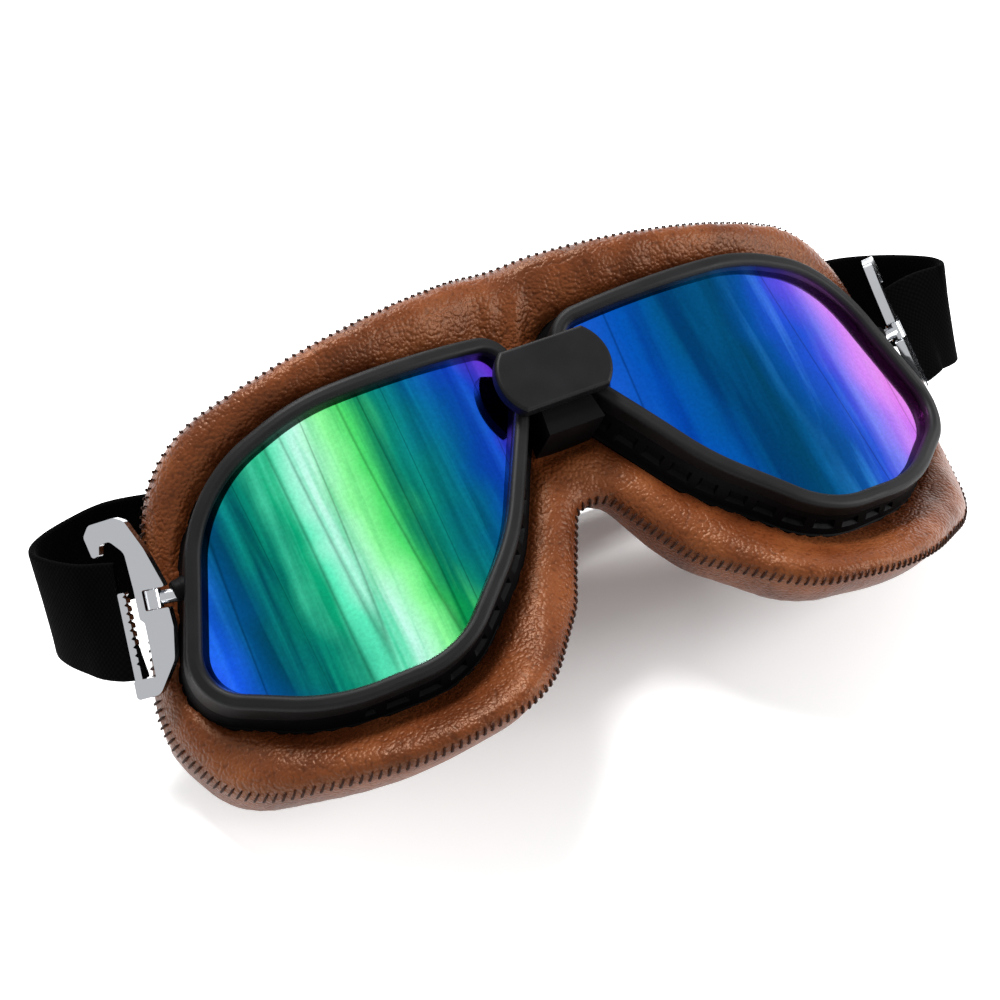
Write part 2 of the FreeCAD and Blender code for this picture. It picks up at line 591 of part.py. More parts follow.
def make_strap_end(name, side):
    """End of the strap: a loop round the hook's bar, then a band that folds round behind the mask."""
    loop = new_body(f"{name}_strap_loop")
    middle = Vector(side * (size("bar_x") + 0.5 * size("bar_width")), 0, 0)
    rings = [[Part.Circle(middle, Vector(0, 0, 1), radius)]
             for radius in (size("loop_radius") + size("strap_thickness"), size("loop_radius"))]
    pad(loop, f"{name}_loop_pad", "XZ_Plane", rings, "Sizes.loop_height")
    level = 0.5 * (size("bar_rise") + size("bar_floor"))
    loop.Placement = hook_place(side) * FreeCAD.Placement(Vector(0, level, 0), FreeCAD.Rotation())
    stations = strap_stations(side)
    points = [point for point, _ in stations]
    half_wide, half_thick = 0.5 * size("strap_width"), 0.5 * size("strap_thickness")
    sections = []
    for number, (point, width) in enumerate(stations):
        before, after = points[max(number - 1, 0)], points[min(number + 1, len(points) - 1)]
        along = (after - before).normalize()
        if number == 0:
            along = hook_place(side).Rotation.multVec(Vector(side, 0, 0))
        if number == len(points) - 1:
            along = Vector(-side, 0, 0)
        section = DOC.addObject("Sketcher::SketchObject", f"{name}_strap_section{number}")
        corners = [(-half_wide, -half_thick, 0.0), (half_wide, -half_thick, 0.0),
                   (half_wide, half_thick, 0.0), (-half_wide, half_thick, 0.0)]
        for edge in rounded(corners):
            section.addGeometry(edge)
        across = width - along * width.dot(along)
        turn = FreeCAD.Rotation(across, along.cross(across), along, "XYZ")
        section.Placement = FreeCAD.Placement(point, turn)
        sections.append(section)
    sweep = DOC.addObject("Part::Loft", f"{name}_strap_sweep")
    sweep.Sections = sections
    sweep.Solid = True
    sweep.Ruled = True
    DOC.recompute()
    keep(f"{name}_strap_end", fuse(f"{name}_strap_end", [loop, sweep]))


def make_band():
    """Rear band of the strap and the slider that takes up its length."""
    band = DOC.addObject("Part::Box", "strap_band")
    band.setExpression("Length", "2 * Sizes.band_half")
    band.setExpression("Width", "Sizes.strap_width")
    band.setExpression("Height", "Sizes.strap_thickness")
    corner = Vector(-size("band_half"), -0.5 * size("strap_width"), -0.5 * size("strap_thickness"))
    band.Placement = FreeCAD.Placement(corner, FreeCAD.Rotation())
    keep("strap_band", band, band_place())
    body = new_body("strap_slider")
    grow = size("slider_gap")
    inner = Vector(0.5 * size("strap_width") + grow, 0.5 * size("strap_thickness") + grow, 0)
    outer = inner + Vector(size("slider_wall"), size("slider_wall"), 0)
    loops = [rounded([(-edge.x, edge.y, radius), (edge.x, edge.y, radius),
                      (edge.x, -edge.y, radius), (-edge.x, -edge.y, radius)])
             for edge, radius in ((outer, size("slider_round")), (inner, 0.0))]
    pad(body, "slider_pad", "YZ_Plane", loops, "Sizes.slider_length")
    DOC.recompute()
    keep("strap_slider", body, band_place())


SIDES = (("left", 1), ("right", -1))
for side_name, side_sign in SIDES:
    make_rim(side_name, side_sign)
    make_lens(side_name, side_sign)
    make_cup(side_name, side_sign)
    make_post(side_name, side_sign)
    make_hook(side_name, side_sign)
    make_strap_end(side_name, side_sign)
make_mask()
make_bridge()
make_band()
DOC.recompute()

failed = [item.Label for item in DOC.Objects if "Invalid" in item.State or "Error" in item.State]
if failed:
    raise RuntimeError(f"objects that failed to build: {failed}")
LEAN = FreeCAD.Placement(Vector(0, 0, 0), FreeCAD.Rotation(Vector(1, 0, 0), size("lean_angle")))
finished = {}
for label, item in PIECES.items():
    shape = item.Shape.copy()
    shape.Placement = LEAN * shape.Placement
    if shape.isNull() or not shape.isValid() or not shape.Solids:
        raise RuntimeError(f"{label} isn't a valid solid")
    finished[label] = shape
whole = FreeCAD.BoundBox()
for shape in finished.values():
    whole.add(shape.BoundBox)
rest = Vector(-whole.Center.x, -whole.Center.y, -whole.ZMin)
os.makedirs("parts", exist_ok=True)
for label, shape in finished.items():
    shape.translate(rest)
    shape.exportStep(f"parts/{label}.step")
    box = shape.BoundBox
    print(f"{label}: {len(shape.Solids)} solid(s), {shape.Volume:.0f} mm3, "
          f"z {box.ZMin:.2f} to {box.ZMax:.2f}")
for side_name, side_sign in SIDES:
    pivot = hook_base(side_sign).Base
    print(f"{side_name} pivot {pivot.x:.3f} {pivot.y:.3f} {pivot.z:.3f}")
print(f"rest shift {rest.x:.3f} {rest.y:.3f} {rest.z:.3f}")
print(f"whole {whole.XLength:.1f} x {whole.YLength:.1f} x {whole.ZLength:.1f} mm")
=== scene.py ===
"""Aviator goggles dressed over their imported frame: leather mask, lenses, strap, hooks and studio."""
import json
import logging
import math
from dataclasses import dataclass, field
from enum import Enum
from typing import Sequence

import bpy
import numpy as np
from mathutils import Matrix, Vector, noise
from mathutils.geometry import delaunay_2d_cdt


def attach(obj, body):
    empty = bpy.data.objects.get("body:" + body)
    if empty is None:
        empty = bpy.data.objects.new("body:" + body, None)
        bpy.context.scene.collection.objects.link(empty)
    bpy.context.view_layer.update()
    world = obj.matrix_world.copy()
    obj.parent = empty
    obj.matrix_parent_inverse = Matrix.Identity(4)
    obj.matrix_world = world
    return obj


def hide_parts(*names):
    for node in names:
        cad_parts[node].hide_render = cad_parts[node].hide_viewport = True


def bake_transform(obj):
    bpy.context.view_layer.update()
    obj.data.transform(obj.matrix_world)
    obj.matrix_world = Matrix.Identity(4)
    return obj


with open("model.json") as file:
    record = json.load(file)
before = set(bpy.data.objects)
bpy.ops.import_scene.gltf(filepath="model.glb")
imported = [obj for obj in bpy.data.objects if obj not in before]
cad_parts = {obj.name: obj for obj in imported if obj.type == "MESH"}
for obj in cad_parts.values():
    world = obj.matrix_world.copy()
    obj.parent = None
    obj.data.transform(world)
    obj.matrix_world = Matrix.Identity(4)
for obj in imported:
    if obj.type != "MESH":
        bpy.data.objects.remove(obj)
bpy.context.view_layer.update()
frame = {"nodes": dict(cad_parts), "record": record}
LOG = logging.getLogger("goggles")
MM = 0.001
# Bench place of the left hook's hinge, as the solids have it.
HOOK_PIVOT = (90.2, -14.477, -14.556)
# Distance between points along an outline's corner arcs, in millimetres.
ARC_STEP = 0.3
# Share of the grid's pitch that its points keep clear of a loop.
CLEARANCE = 0.55
Corner = tuple[float, float, float]
Point = tuple[float, float]
Stops = tuple[tuple[float, str], ...]


class Side(Enum):
    """The wearer's sides, and the way that each lies along X."""

    LEFT = 1
    RIGHT = -1

    @property
    def word(self) -> str:
        """Lower-case name, as the frame's nodes and bodies use it."""
        return self.name.lower()


def linear(hex_colour: str) -> tuple[float, float, float, float]:
    """Turns an sRGB hex colour to linear values.

    Args:
        hex_colour: six hex digits with a leading hash.

    Returns:
        Linear red, green, blue and an alpha of one.
    """
    parts = [int(hex_colour[i:i + 2], 16) / 255.0 for i in (1, 3, 5)]
    values = [c / 12.92 if c <= 0.04045 else ((c + 0.055) / 1.055) ** 2.4 for c in parts]
    return (values[0], values[1], values[2], 1.0)


class Recipe:
    """A node tree in the making, for a material or the world."""

    def __init__(self, owner: bpy.types.Material | bpy.types.World, shader: str) -> None:
        """Starts from the owner's default nodes, of which one is the shader.

        Args:
            owner: the material or world.
            shader: name of its shader node.
        """
        owner.use_nodes = True
        self.tree = owner.node_tree
        self.shader = self.tree.nodes[shader]

    def add(self, kind: str, inputs: dict | None = None, stops: Stops = (), **settings: object) -> bpy.types.Node:
        """Adds a node with its settings, values and links.

        Args:
            kind: the node's Blender type.
            inputs: socket name or number to a value, or to a socket or node that links there.
            stops: places from 0 to 1 and their hex colours, where the node is a colour ramp.
            settings: properties of the node.

        Returns:
            The new node.
        """
        node = self.tree.nodes.new(kind)
        for key, value in settings.items():
            setattr(node, key, value)
        for key, value in (inputs or {}).items():
            self.put(node.inputs[key], value)
        if stops:
            points = node.color_ramp.elements
            while len(points) < len(stops):
                points.new(0.5)
            for point, (place, colour) in zip(points, stops):
                point.position = place
                point.color = linear(colour)
        return node

    def put(self, socket: bpy.types.NodeSocket, value: object) -> None:
        """Sets a socket to a value, or links another socket or a node's first output to it.

        Args:
            socket: the input.
            value: a value, a socket or a node.
        """
        if isinstance(value, bpy.types.Node):
            value = value.outputs[0]
        if isinstance(value, bpy.types.NodeSocket):
            self.tree.links.new(value, socket)
        else:
            socket.default_value = value

    def surface(self, inputs: dict[str, object]) -> None:
        """Sets the shader's sockets by name, to values or links."""
        for key, value in inputs.items():
            self.put(self.shader.inputs[key], value)


@dataclass(frozen=True)
class Finish:
    """A surface finish that makes its own material."""

    name: str

    def material(self) -> bpy.types.Material:
        """Makes the material."""
        material = bpy.data.materials.new(self.name)
        recipe = Recipe(material, "Principled BSDF")
        recipe.surface(self.look(recipe))
        return material

    def look(self, recipe: Recipe) -> dict[str, object]:
        """Values and links for the shader's sockets, by name."""
        raise NotImplementedError


@dataclass(frozen=True)
class LeatherFinish(Finish):
    """Corrected-grain cowhide: pressed pebble grain under a semi-gloss pigment coat."""

    dark: str
    middle: str
    light: str
    shine: str = "#F2C2A0"
    pore_tone: str = "#B4A8A4"
    pore_share: float = 0.75
    specular: float = 0.4
    gloss: Point = (0.24, 0.5)
    blotch_mm: float = 14.0
    grain_mm: float = 0.7
    grain_height_mm: float = 0.16
    crease_share: float = 0.9

    def look(self, recipe: Recipe) -> dict[str, object]:
        """Pebbles catch small highlights, and pores between them run darker.

        Args:
            recipe: the material's node tree.

        Returns:
            Values and links for the shader's sockets, by name.
        """
        grain = self.grain_mm * MM
        place = recipe.add("ShaderNodeTexCoord").outputs["Object"]
        warp = recipe.add("ShaderNodeTexNoise", {"Vector": place, "Scale": 0.5 / grain, "Detail": 2.0})
        shift = recipe.add("ShaderNodeVectorMath", {0: warp.outputs["Color"], 1: (0.6 * grain,) * 3},
                           operation="MULTIPLY")
        spot = recipe.add("ShaderNodeVectorMath", {0: place, 1: shift}, operation="ADD")
        pebbles = recipe.add("ShaderNodeTexVoronoi", {"Vector": spot, "Scale": 1.0 / grain}, feature="SMOOTH_F1")
        crease = recipe.add("ShaderNodeTexNoise", {"Vector": place, "Scale": 1.0 / (2.6 * grain), "Detail": 5.0,
                                                   "Roughness": 0.6})
        blotch = recipe.add("ShaderNodeTexNoise", {"Vector": place, "Scale": 1.0 / (self.blotch_mm * MM),
                                                   "Detail": 3.0})
        colour = recipe.add("ShaderNodeValToRGB", {0: blotch},
                            stops=((0.34, self.dark), (0.5, self.middle), (0.68, self.light)))
        pore = recipe.add("ShaderNodeMapRange", {0: pebbles, 1: 0.25, 2: 0.75, 3: 1.0, 4: 0.0})
        tone = recipe.add("ShaderNodeValToRGB", {0: pore}, stops=((0.0, self.pore_tone), (0.5, "#FFFFFF")))
        shade = recipe.add("ShaderNodeMix", {0: self.pore_share, 6: colour, 7: tone}, data_type="RGBA",
                           blend_type="MULTIPLY")
        height = recipe.add("ShaderNodeMath", {0: crease, 1: self.crease_share, 2: pore}, operation="MULTIPLY_ADD")
        return {"Base Color": shade.outputs[2],
                "Roughness": recipe.add("ShaderNodeMapRange", {0: crease, 3: self.gloss[0], 4: self.gloss[1]}),
                "Normal": recipe.add("ShaderNodeBump", {"Strength": 0.9, "Distance": self.grain_height_mm * MM,
                                                        "Height": height}),
                "Specular IOR Level": self.specular, "Specular Tint": linear(self.shine)}


@dataclass(frozen=True)
class MouldedFinish(Finish):
    """Moulded plastic or rubber with a spark-eroded texture."""

    colour: str
    worn: str
    roughness: float
    specular: float = 0.14
    # A real texture of this kind is about 0.05 mm, too fine to show here, so it is drawn coarser.
    texture_mm: float = 0.45
    depth_mm: float = 0.03
    cloud_mm: float = 8.0
    gloss_drift: Point = (-0.06, 0.08)

    def look(self, recipe: Recipe) -> dict[str, object]:
        """A fine even stipple breaks up long highlights.

        Args:
            recipe: the material's node tree.

        Returns:
            Values and links for the shader's sockets, by name.
        """
        place = recipe.add("ShaderNodeTexCoord").outputs["Object"]
        stipple, cloud = (recipe.add("ShaderNodeTexNoise", {"Vector": place, "Scale": 1.0 / (size * MM),
                                                            "Detail": 3.0})
                          for size in (self.texture_mm, self.cloud_mm))
        low, high = (self.roughness + drift for drift in self.gloss_drift)
        return {"Base Color": recipe.add("ShaderNodeValToRGB", {0: cloud},
                                         stops=((0.35, self.colour), (0.75, self.worn))),
                "Roughness": recipe.add("ShaderNodeMapRange", {0: cloud, 3: low, 4: high}),
                "Normal": recipe.add("ShaderNodeBump", {"Strength": 0.5, "Distance": self.depth_mm * MM,
                                                        "Height": stipple}),
                "Specular IOR Level": self.specular}


@dataclass(frozen=True)
class MetalFinish(Finish):
    """Polished plated metal."""

    colour: str
    roughness: float
    haze: float = 0.12
    # Polishing lines are too fine to show here, so the haze is drawn as broad patches.
    haze_mm: float = 3.0

    def look(self, recipe: Recipe) -> dict[str, object]:
        """A clean mirror with faint polishing haze.

        Args:
            recipe: the material's node tree.

        Returns:
            Values and links for the shader's sockets, by name.
        """
        place = recipe.add("ShaderNodeTexCoord").outputs["Object"]
        haze = recipe.add("ShaderNodeTexNoise", {"Vector": place, "Scale": 1.0 / (self.haze_mm * MM),
                                                 "Detail": 3.0})
        gloss = recipe.add("ShaderNodeMapRange", {0: haze, 3: self.roughness, 4: self.roughness + self.haze})
        return {"Base Color": linear(self.colour), "Metallic": 1.0, "Roughness": gloss}


@dataclass(frozen=True)
class MirrorCoatFinish(Finish):
    """Polycarbonate lens with a vacuum-deposited mirror coat whose tint follows its thickness, with painted
    highlight streaks and painted dark hairline reflections.
    """

    low_mm: float
    high_mm: float
    tints: Stops
    # Brighter tints laid along the streaks, as painted highlights.
    flare: Stops
    # Width and length of the streaks, which carry painted highlights and painted dark hairlines.
    painted_streak_mm: float = 5.0
    painted_streak_length_mm: float = 110.0
    speckle_mm: float = 0.7
    wave_mm: float = 24.0
    drift: float = 0.09
    slant: Corner = (1.0, 0.10, 0.05)
    roughness: float = 0.06

    def look(self, recipe: Recipe) -> dict[str, object]:
        """Tints slide across the curve of the lens, with painted highlight streaks and fine painted dark hairlines
        along its height.

        Args:
            recipe: the material's node tree.

        Returns:
            Values and links for the shader's sockets, by name.
        """
        place = recipe.add("ShaderNodeTexCoord").outputs["Object"]
        slant = recipe.add("ShaderNodeVectorMath", {0: place, 1: self.slant}, operation="DOT_PRODUCT")
        wave, speckle = (recipe.add("ShaderNodeTexNoise", {"Vector": place, "Scale": 1.0 / (size * MM),
                                                           "Detail": 2.0})
                         for size in (self.wave_mm, self.speckle_mm))
        part = recipe.add("ShaderNodeMapRange", {0: slant.outputs["Value"], 1: self.low_mm * MM,
                                                 2: self.high_mm * MM})
        shift = recipe.add("ShaderNodeMapRange", {0: wave, 3: -self.drift, 4: self.drift})
        run = recipe.add("ShaderNodeMath", {0: part, 1: shift}, operation="ADD")
        # Streaks stretched up the lens: brighter tints along them are painted highlights.
        fine, slow = (1.0 / (size * MM) for size in (self.painted_streak_mm, self.painted_streak_length_mm))
        long = recipe.add("ShaderNodeMapping", {"Vector": place, "Scale": (fine, slow, slow)})
        painted_highlight_streaks, painted_hairline_noise = (recipe.add("ShaderNodeTexNoise", {"Vector": long, "Scale": scale, "Detail": detail,
                                                         "Distortion": wander})
                       for scale, detail, wander in ((1.0, 4.0, 0.35), (0.55, 0.0, 0.2)))
        share = recipe.add("ShaderNodeMapRange", {0: painted_highlight_streaks, 1: 0.42, 2: 0.62})
        base, painted_highlight = (recipe.add("ShaderNodeValToRGB", {0: run}, stops=row) for row in (self.tints, self.flare))
        mixed = recipe.add("ShaderNodeMix", {0: share, 6: base, 7: painted_highlight}, data_type="RGBA")
        # Painted reflections: the tint darkens along thin dark hairlines.
        gap = recipe.add("ShaderNodeMath", {0: painted_hairline_noise, 1: 0.5}, operation="SUBTRACT")
        gap = recipe.add("ShaderNodeMath", {0: gap}, operation="ABSOLUTE")
        painted_dark_hairlines = recipe.add("ShaderNodeMapRange", {0: gap, 1: 0.0, 2: 0.012, 3: 0.55, 4: 1.0})
        dust = recipe.add("ShaderNodeMapRange", {0: speckle, 1: 0.3, 2: 0.7, 3: 0.9, 4: 1.06})
        shade = recipe.add("ShaderNodeMath", {0: painted_dark_hairlines, 1: dust}, operation="MULTIPLY")
        final = recipe.add("ShaderNodeVectorMath", {0: mixed.outputs[2], "Scale": shade}, operation="SCALE")
        return {"Base Color": final, "Roughness": self.roughness, "Metallic": 1.0}


@dataclass(frozen=True)
class ElasticFinish(Finish):
    """Woven elastic webbing with ribs along its length."""

    colour: str
    thread: str
    # Real picks are about 0.4 mm apart, too fine to show here, so ribs and picks are drawn coarser.
    rib_mm: float = 1.3
    pick_mm: float = 0.9
    thread_mm: float = 0.12
    roughness: float = 0.9
    specular: float = 0.02
    sheen: float = 0.01

    def look(self, recipe: Recipe) -> dict[str, object]:
        """Ribs crossed by picks, from the strap's own UV in millimetres.

        Args:
            recipe: the material's node tree.

        Returns:
            Values and links for the shader's sockets, by name.
        """
        axes = recipe.add("ShaderNodeSeparateXYZ", {0: recipe.add("ShaderNodeUVMap", uv_map="weave")})
        waves = []
        for axis, pitch in enumerate((self.pick_mm, self.rib_mm)):
            turn = recipe.add("ShaderNodeMath", {0: axes.outputs[axis], 1: math.tau / pitch}, operation="MULTIPLY")
            waves.append(recipe.add("ShaderNodeMath", {0: turn}, operation="SINE"))
        cross = recipe.add("ShaderNodeMath", dict(enumerate(waves)), operation="MULTIPLY")
        lift = recipe.add("ShaderNodeMapRange", {0: cross, 1: -1.0})
        return {"Base Color": recipe.add("ShaderNodeValToRGB", {0: lift},
                                         stops=((0.2, self.colour), (0.9, self.thread))),
                "Normal": recipe.add("ShaderNodeBump", {"Strength": 0.6, "Distance": self.thread_mm * MM,
                                                        "Height": lift}),
                "Roughness": self.roughness, "Sheen Weight": self.sheen, "Specular IOR Level": self.specular}


@dataclass(frozen=True)
class CardFinish(Finish):
    """Matt white card with a painted glow to the eye and in mirrors, weaker near the goggles, so the floor there
    is painted darker.
    """

    colour: str
    roughness: float = 0.9
    glow: Point = (0.14, 0.72)
    glow_span: Point = (0.03, 0.12)

    def look(self, recipe: Recipe) -> dict[str, object]:
        """The painted glow keeps the card white far off, and is dimmed near the goggles, which paints the floor
        darker round their shadow.

        Args:
            recipe: the material's node tree.

        Returns:
            Values and links for the shader's sockets, by name.
        """
        path = recipe.add("ShaderNodeLightPath").outputs
        seen = recipe.add("ShaderNodeMath", {0: path["Is Camera Ray"], 1: path["Is Glossy Ray"]},
                          operation="MAXIMUM")
        place = recipe.add("ShaderNodeTexCoord").outputs["Object"]
        away = recipe.add("ShaderNodeVectorMath", {0: place}, operation="LENGTH").outputs["Value"]
        # Painted light: the glow is weak near the goggles and strong far off, so the floor near them is painted
        # darker.
        level = recipe.add("ShaderNodeMapRange", {0: away, **dict(enumerate(self.glow_span + self.glow, 1))})
        glow = recipe.add("ShaderNodeMath", {0: seen, 1: level}, operation="MULTIPLY")
        return {"Base Color": linear(self.colour), "Roughness": self.roughness, "Specular IOR Level": 0.0,
                "Emission Color": linear("#FFFFFF"), "Emission Strength": glow}


@dataclass
class Bench:
    """The bench frame that the goggles were drawn in: X across, Y up as worn, Z to the front."""

    cap_face_mm: tuple[float, float, float] = (0.0, -4.0, 8.2)
    turn: Matrix = field(init=False)
    shift: Vector = field(init=False)

    def __post_init__(self) -> None:
        """Reads the lean and the rest place from the mount on the bridge cap's face."""
        mount = next(m for m in frame["record"]["mounts"] if m["name"] == "badge_face")
        self.turn = Matrix.Rotation(math.atan2(-mount["axis"][1], mount["axis"][2]), 3, "X")
        self.shift = Vector(mount["pos_m"]) - self.turn @ (Vector(self.cap_face_mm) * MM)

    def row(self, point: Sequence[float]) -> Vector:
        """Bench point in millimetres to the row frame in metres."""
        return self.turn @ (Vector(point) * MM) + self.shift

    def way(self, direction: Sequence[float]) -> Vector:
        """Bench direction in the row frame."""
        return self.turn @ Vector(direction)


@dataclass
class FaceCurve:
    """Curved front that rims, lenses and mask share, seen from above, in millimetres."""

    radius: float = 84.0
    centre_x: float = 32.0
    crown: float = 7.0
    end_angle: float = math.radians(31.0)
    fill: float = 16.0

    def level(self, x: float, depth: float) -> float:
        """Bench Z at a place across the face.

        Args:
            x: place across the face.
            depth: distance behind the rims' front.

        Returns:
            The height towards the front.
        """
        x = abs(x)
        radius, fill = self.radius - depth, self.fill + depth
        centre_z = self.crown - self.radius
        fill_z = centre_z + math.sqrt((radius + fill) ** 2 - self.centre_x ** 2)
        if x < self.centre_x * fill / (radius + fill):
            return fill_z - math.sqrt(fill ** 2 - x ** 2)
        end_x = self.centre_x + radius * math.sin(self.end_angle)
        if x < end_x:
            return centre_z + math.sqrt(radius ** 2 - (x - self.centre_x) ** 2)
        return centre_z + radius * math.cos(self.end_angle) - (x - end_x) * math.tan(self.end_angle)


@dataclass
class Loop:
    """A closed line of points, with a value such as a depth at each."""

    points: np.ndarray
    values: np.ndarray

    def nearest(self, spots: np.ndarray) -> tuple[np.ndarray, np.ndarray, np.ndarray]:
        """Distance from spots to the line, and the line's value and place there.

        Args:
            spots: rows of x and y.

        Returns:
            One distance, one value and one place on the line per spot.
        """
        best = np.full(len(spots), np.inf)
        found = np.zeros(len(spots))
        feet = np.zeros((len(spots), 2))
        after = np.roll(self.points, -1, axis=0)
        for i, (a, b) in enumerate(zip(self.points, after)):
            d = b - a
            share = np.clip(((spots - a) @ d) / max(float(d @ d), 1e-12), 0.0, 1.0)
            gap = np.linalg.norm(spots - a - share[:, None] * d, axis=1)
            closer = gap < best
            best = np.where(closer, gap, best)
            value = self.values[i] + share * (self.values[(i + 1) % len(self.values)] - self.values[i])
            found = np.where(closer, value, found)
            feet = np.where(closer[:, None], a + share[:, None] * d, feet)
        return best, found, feet

    def holds(self, spots: np.ndarray) -> np.ndarray:
        """Marks the spots that lie inside the line.

        Args:
            spots: rows of x and y.

        Returns:
            One mark per spot.
        """
        marks = np.zeros(len(spots), bool)
        for (ax, ay), (bx, by) in zip(self.points, np.roll(self.points, -1, axis=0)):
            crosses = (spots[:, 1] < ay) != (spots[:, 1] < by)
            reach = ax + (spots[:, 1] - ay) * (bx - ax) / (by - ay if by != ay else 1e-9)
            marks ^= crosses & (spots[:, 0] < reach)
        return marks

    def outward(self) -> np.ndarray:
        """Unit directions that point out of the line, for a clockwise line."""
        run = np.roll(self.points, -1, axis=0) - np.roll(self.points, 1, axis=0)
        run /= np.linalg.norm(run, axis=1)[:, None]
        return np.stack([-run[:, 1], run[:, 0]], axis=1)


class Outline:
    """A closed outline of straight runs and tangent corner arcs."""

    def __init__(self, corners: Sequence[Corner]) -> None:
        """Keeps clockwise corners of (x, y, radius)."""
        self.corners = list(corners)

    def grown(self, distance: float) -> "Outline":
        """The same outline moved outwards by a distance.

        Args:
            distance: how far, in millimetres.

        Returns:
            The new outline.
        """
        count = len(self.corners)
        points = [Vector(c[:2]) for c in self.corners]
        runs = [(points[(i + 1) % count] - points[i]).normalized() for i in range(count)]
        lefts = [Vector((-run.y, run.x)) for run in runs]
        moved = []
        for i, corner in enumerate(self.corners):
            middle = lefts[i - 1] + lefts[i]
            turn = runs[i - 1].x * runs[i].y - runs[i - 1].y * runs[i].x
            point = points[i] + middle * (2.0 * distance / middle.length_squared)
            moved.append((point.x, point.y, corner[2] + (distance if turn < 0.0 else -distance)))
        return Outline(moved)

    def mirrored(self) -> "Outline":
        """The outline on the other side of the nose, still clockwise."""
        return Outline([(-x, y, r) for x, y, r in reversed(self.corners)])

    def loop(self, step: float, values: Sequence[float] | None = None, ease_mm: float = 16.0) -> Loop:
        """Evenly spaced points along the outline.

        Args:
            step: distance between points, about.
            values: one value per corner, eased along the outline between them.
            ease_mm: length over which the values are smoothed.

        Returns:
            The points in order, without a repeat at the end, and a value at each.
        """
        track = np.array([p[:] for p in self._dense()])
        track = np.vstack([track, track[:1]])
        lengths = np.concatenate([[0.0], np.cumsum(np.linalg.norm(np.diff(track, axis=0), axis=1))])
        places = np.linspace(0.0, lengths[-1], int(lengths[-1] / step) + 1)[:-1]
        points = np.stack([np.interp(places, lengths, track[:, axis]) for axis in (0, 1)], axis=1)
        if values is None:
            return Loop(points, np.zeros(len(points)))
        spots = [int(np.argmin(np.linalg.norm(points - np.array(c[:2]), axis=1))) for c in self.corners]
        full = np.interp(np.arange(len(points)), spots, values, period=len(points))
        reach = max(1, int(0.5 * ease_mm / step))
        for _ in range(2):
            full = np.mean([np.roll(full, k) for k in range(-reach, reach + 1)], axis=0)
        return Loop(points, full)

    def _dense(self) -> list[Vector]:
        """Close points along the runs and arcs.

        Returns:
            The points in order.
        """
        count = len(self.corners)
        centres = [Vector(c[:2]) for c in self.corners]
        dense: list[Vector] = []
        for i, point in enumerate(centres):
            back = (centres[i - 1] - point).normalized()
            ahead = (centres[(i + 1) % count] - point).normalized()
            half = 0.5 * back.angle(ahead)
            radius = self.corners[i][2]
            centre = point + (back + ahead).normalized() * (radius / math.sin(half))
            start = point + back * (radius / math.tan(half)) - centre
            sweep = math.pi - 2.0 * half
            turn = -1.0 if back.x * ahead.y - back.y * ahead.x > 0.0 else 1.0
            pieces = max(4, int(radius * sweep / ARC_STEP))
            for k in range(pieces + 1):
                angle = turn * sweep * k / pieces
                dense.append(centre + Vector((start.x * math.cos(angle) - start.y * math.sin(angle),
                                              start.x * math.sin(angle) + start.y * math.cos(angle))))
        return dense


def around(count: int) -> list[tuple[int, int]]:
    """Pairs of neighbours round a closed ring."""
    return [(i, (i + 1) % count) for i in range(count)]


def tiles(loops: Sequence[Loop], grid_mm: float) -> tuple[np.ndarray, list[list[int]]]:
    """Triangles inside the first loop and outside the others.

    Args:
        loops: an outer loop, then any holes.
        grid_mm: distance between the points that fill the area.

    Returns:
        Points, of which the loops' own come first in order, and anticlockwise faces.
    """
    outer = loops[0].points
    low, high = outer.min(axis=0), outer.max(axis=0)
    tall = grid_mm * math.sqrt(0.75)
    lattice = np.array([(low[0] + (i + 0.5 * (j % 2)) * grid_mm, low[1] + j * tall)
                        for j in range(int((high[1] - low[1]) / tall) + 1)
                        for i in range(int((high[0] - low[0]) / grid_mm) + 1)])
    room = np.min([loop.nearest(lattice)[0] for loop in loops], axis=0)
    spots = lattice[room > CLEARANCE * grid_mm]
    rows, edges = [], []
    for loop in loops:
        edges += [(len(rows) + i, len(rows) + j) for i, j in around(len(loop.points))]
        rows += [Vector(p) for p in loop.points]
    found = delaunay_2d_cdt(rows + [Vector(p) for p in spots], edges, [], 4, 1e-5)
    flat = np.array([v[:] for v in found[0]])
    faces = []
    for face in found[2]:
        a, b, c = (flat[i] for i in face[:3])
        turn = (b[0] - a[0]) * (c[1] - a[1]) - (b[1] - a[1]) * (c[0] - a[0])
        faces.append(list(face) if turn > 0.0 else list(reversed(face)))
    used = sorted({i for face in faces for i in face})
    number = {old: new for new, old in enumerate(used)}
    return flat[used], [[number[i] for i in face] for face in faces]


def closed(faces: list[list[int]], twin: Sequence[int]) -> list[list[int]]:
    """Makes a closed shell of a sheet: front, back, and walls along the open edges.

    Args:
        faces: the front's faces.
        twin: each front vertex's vertex on the back, which is itself where the two meet.

    Returns:
        The shell's faces.
    """
    sides = {(a, b) for f in faces for a, b in zip(f, f[1:] + f[:1])}
    walls = [[b, a, twin[a], twin[b]] for a, b in sorted(sides)
             if (b, a) not in sides and twin[a] != a and twin[b] != b]
    return faces + [[twin[i] for i in reversed(f)] for f in faces] + walls


def hoops(rows: int, sides: int, start: int = 0, flip: bool = False) -> list[list[int]]:
    """Faces of a tube of rings with a cap at each end.

    Args:
        rows: number of rings.
        sides: vertices in a ring.
        start: number of the first vertex.
        flip: whether the rings run the other way round.

    Returns:
        The walls and then the two caps.
    """
    rings = [list(range(start + k * sides, start + (k + 1) * sides)) for k in range(rows)]
    faces = []
    for low, high in zip(rings, rings[1:]):
        walls = [[low[i], low[j], high[j], high[i]] for i, j in around(sides)]
        faces += [[a, d, c, b] for a, b, c, d in walls] if flip else walls
    return faces + ([rings[0], rings[-1][::-1]] if flip else [rings[0][::-1], rings[-1]])


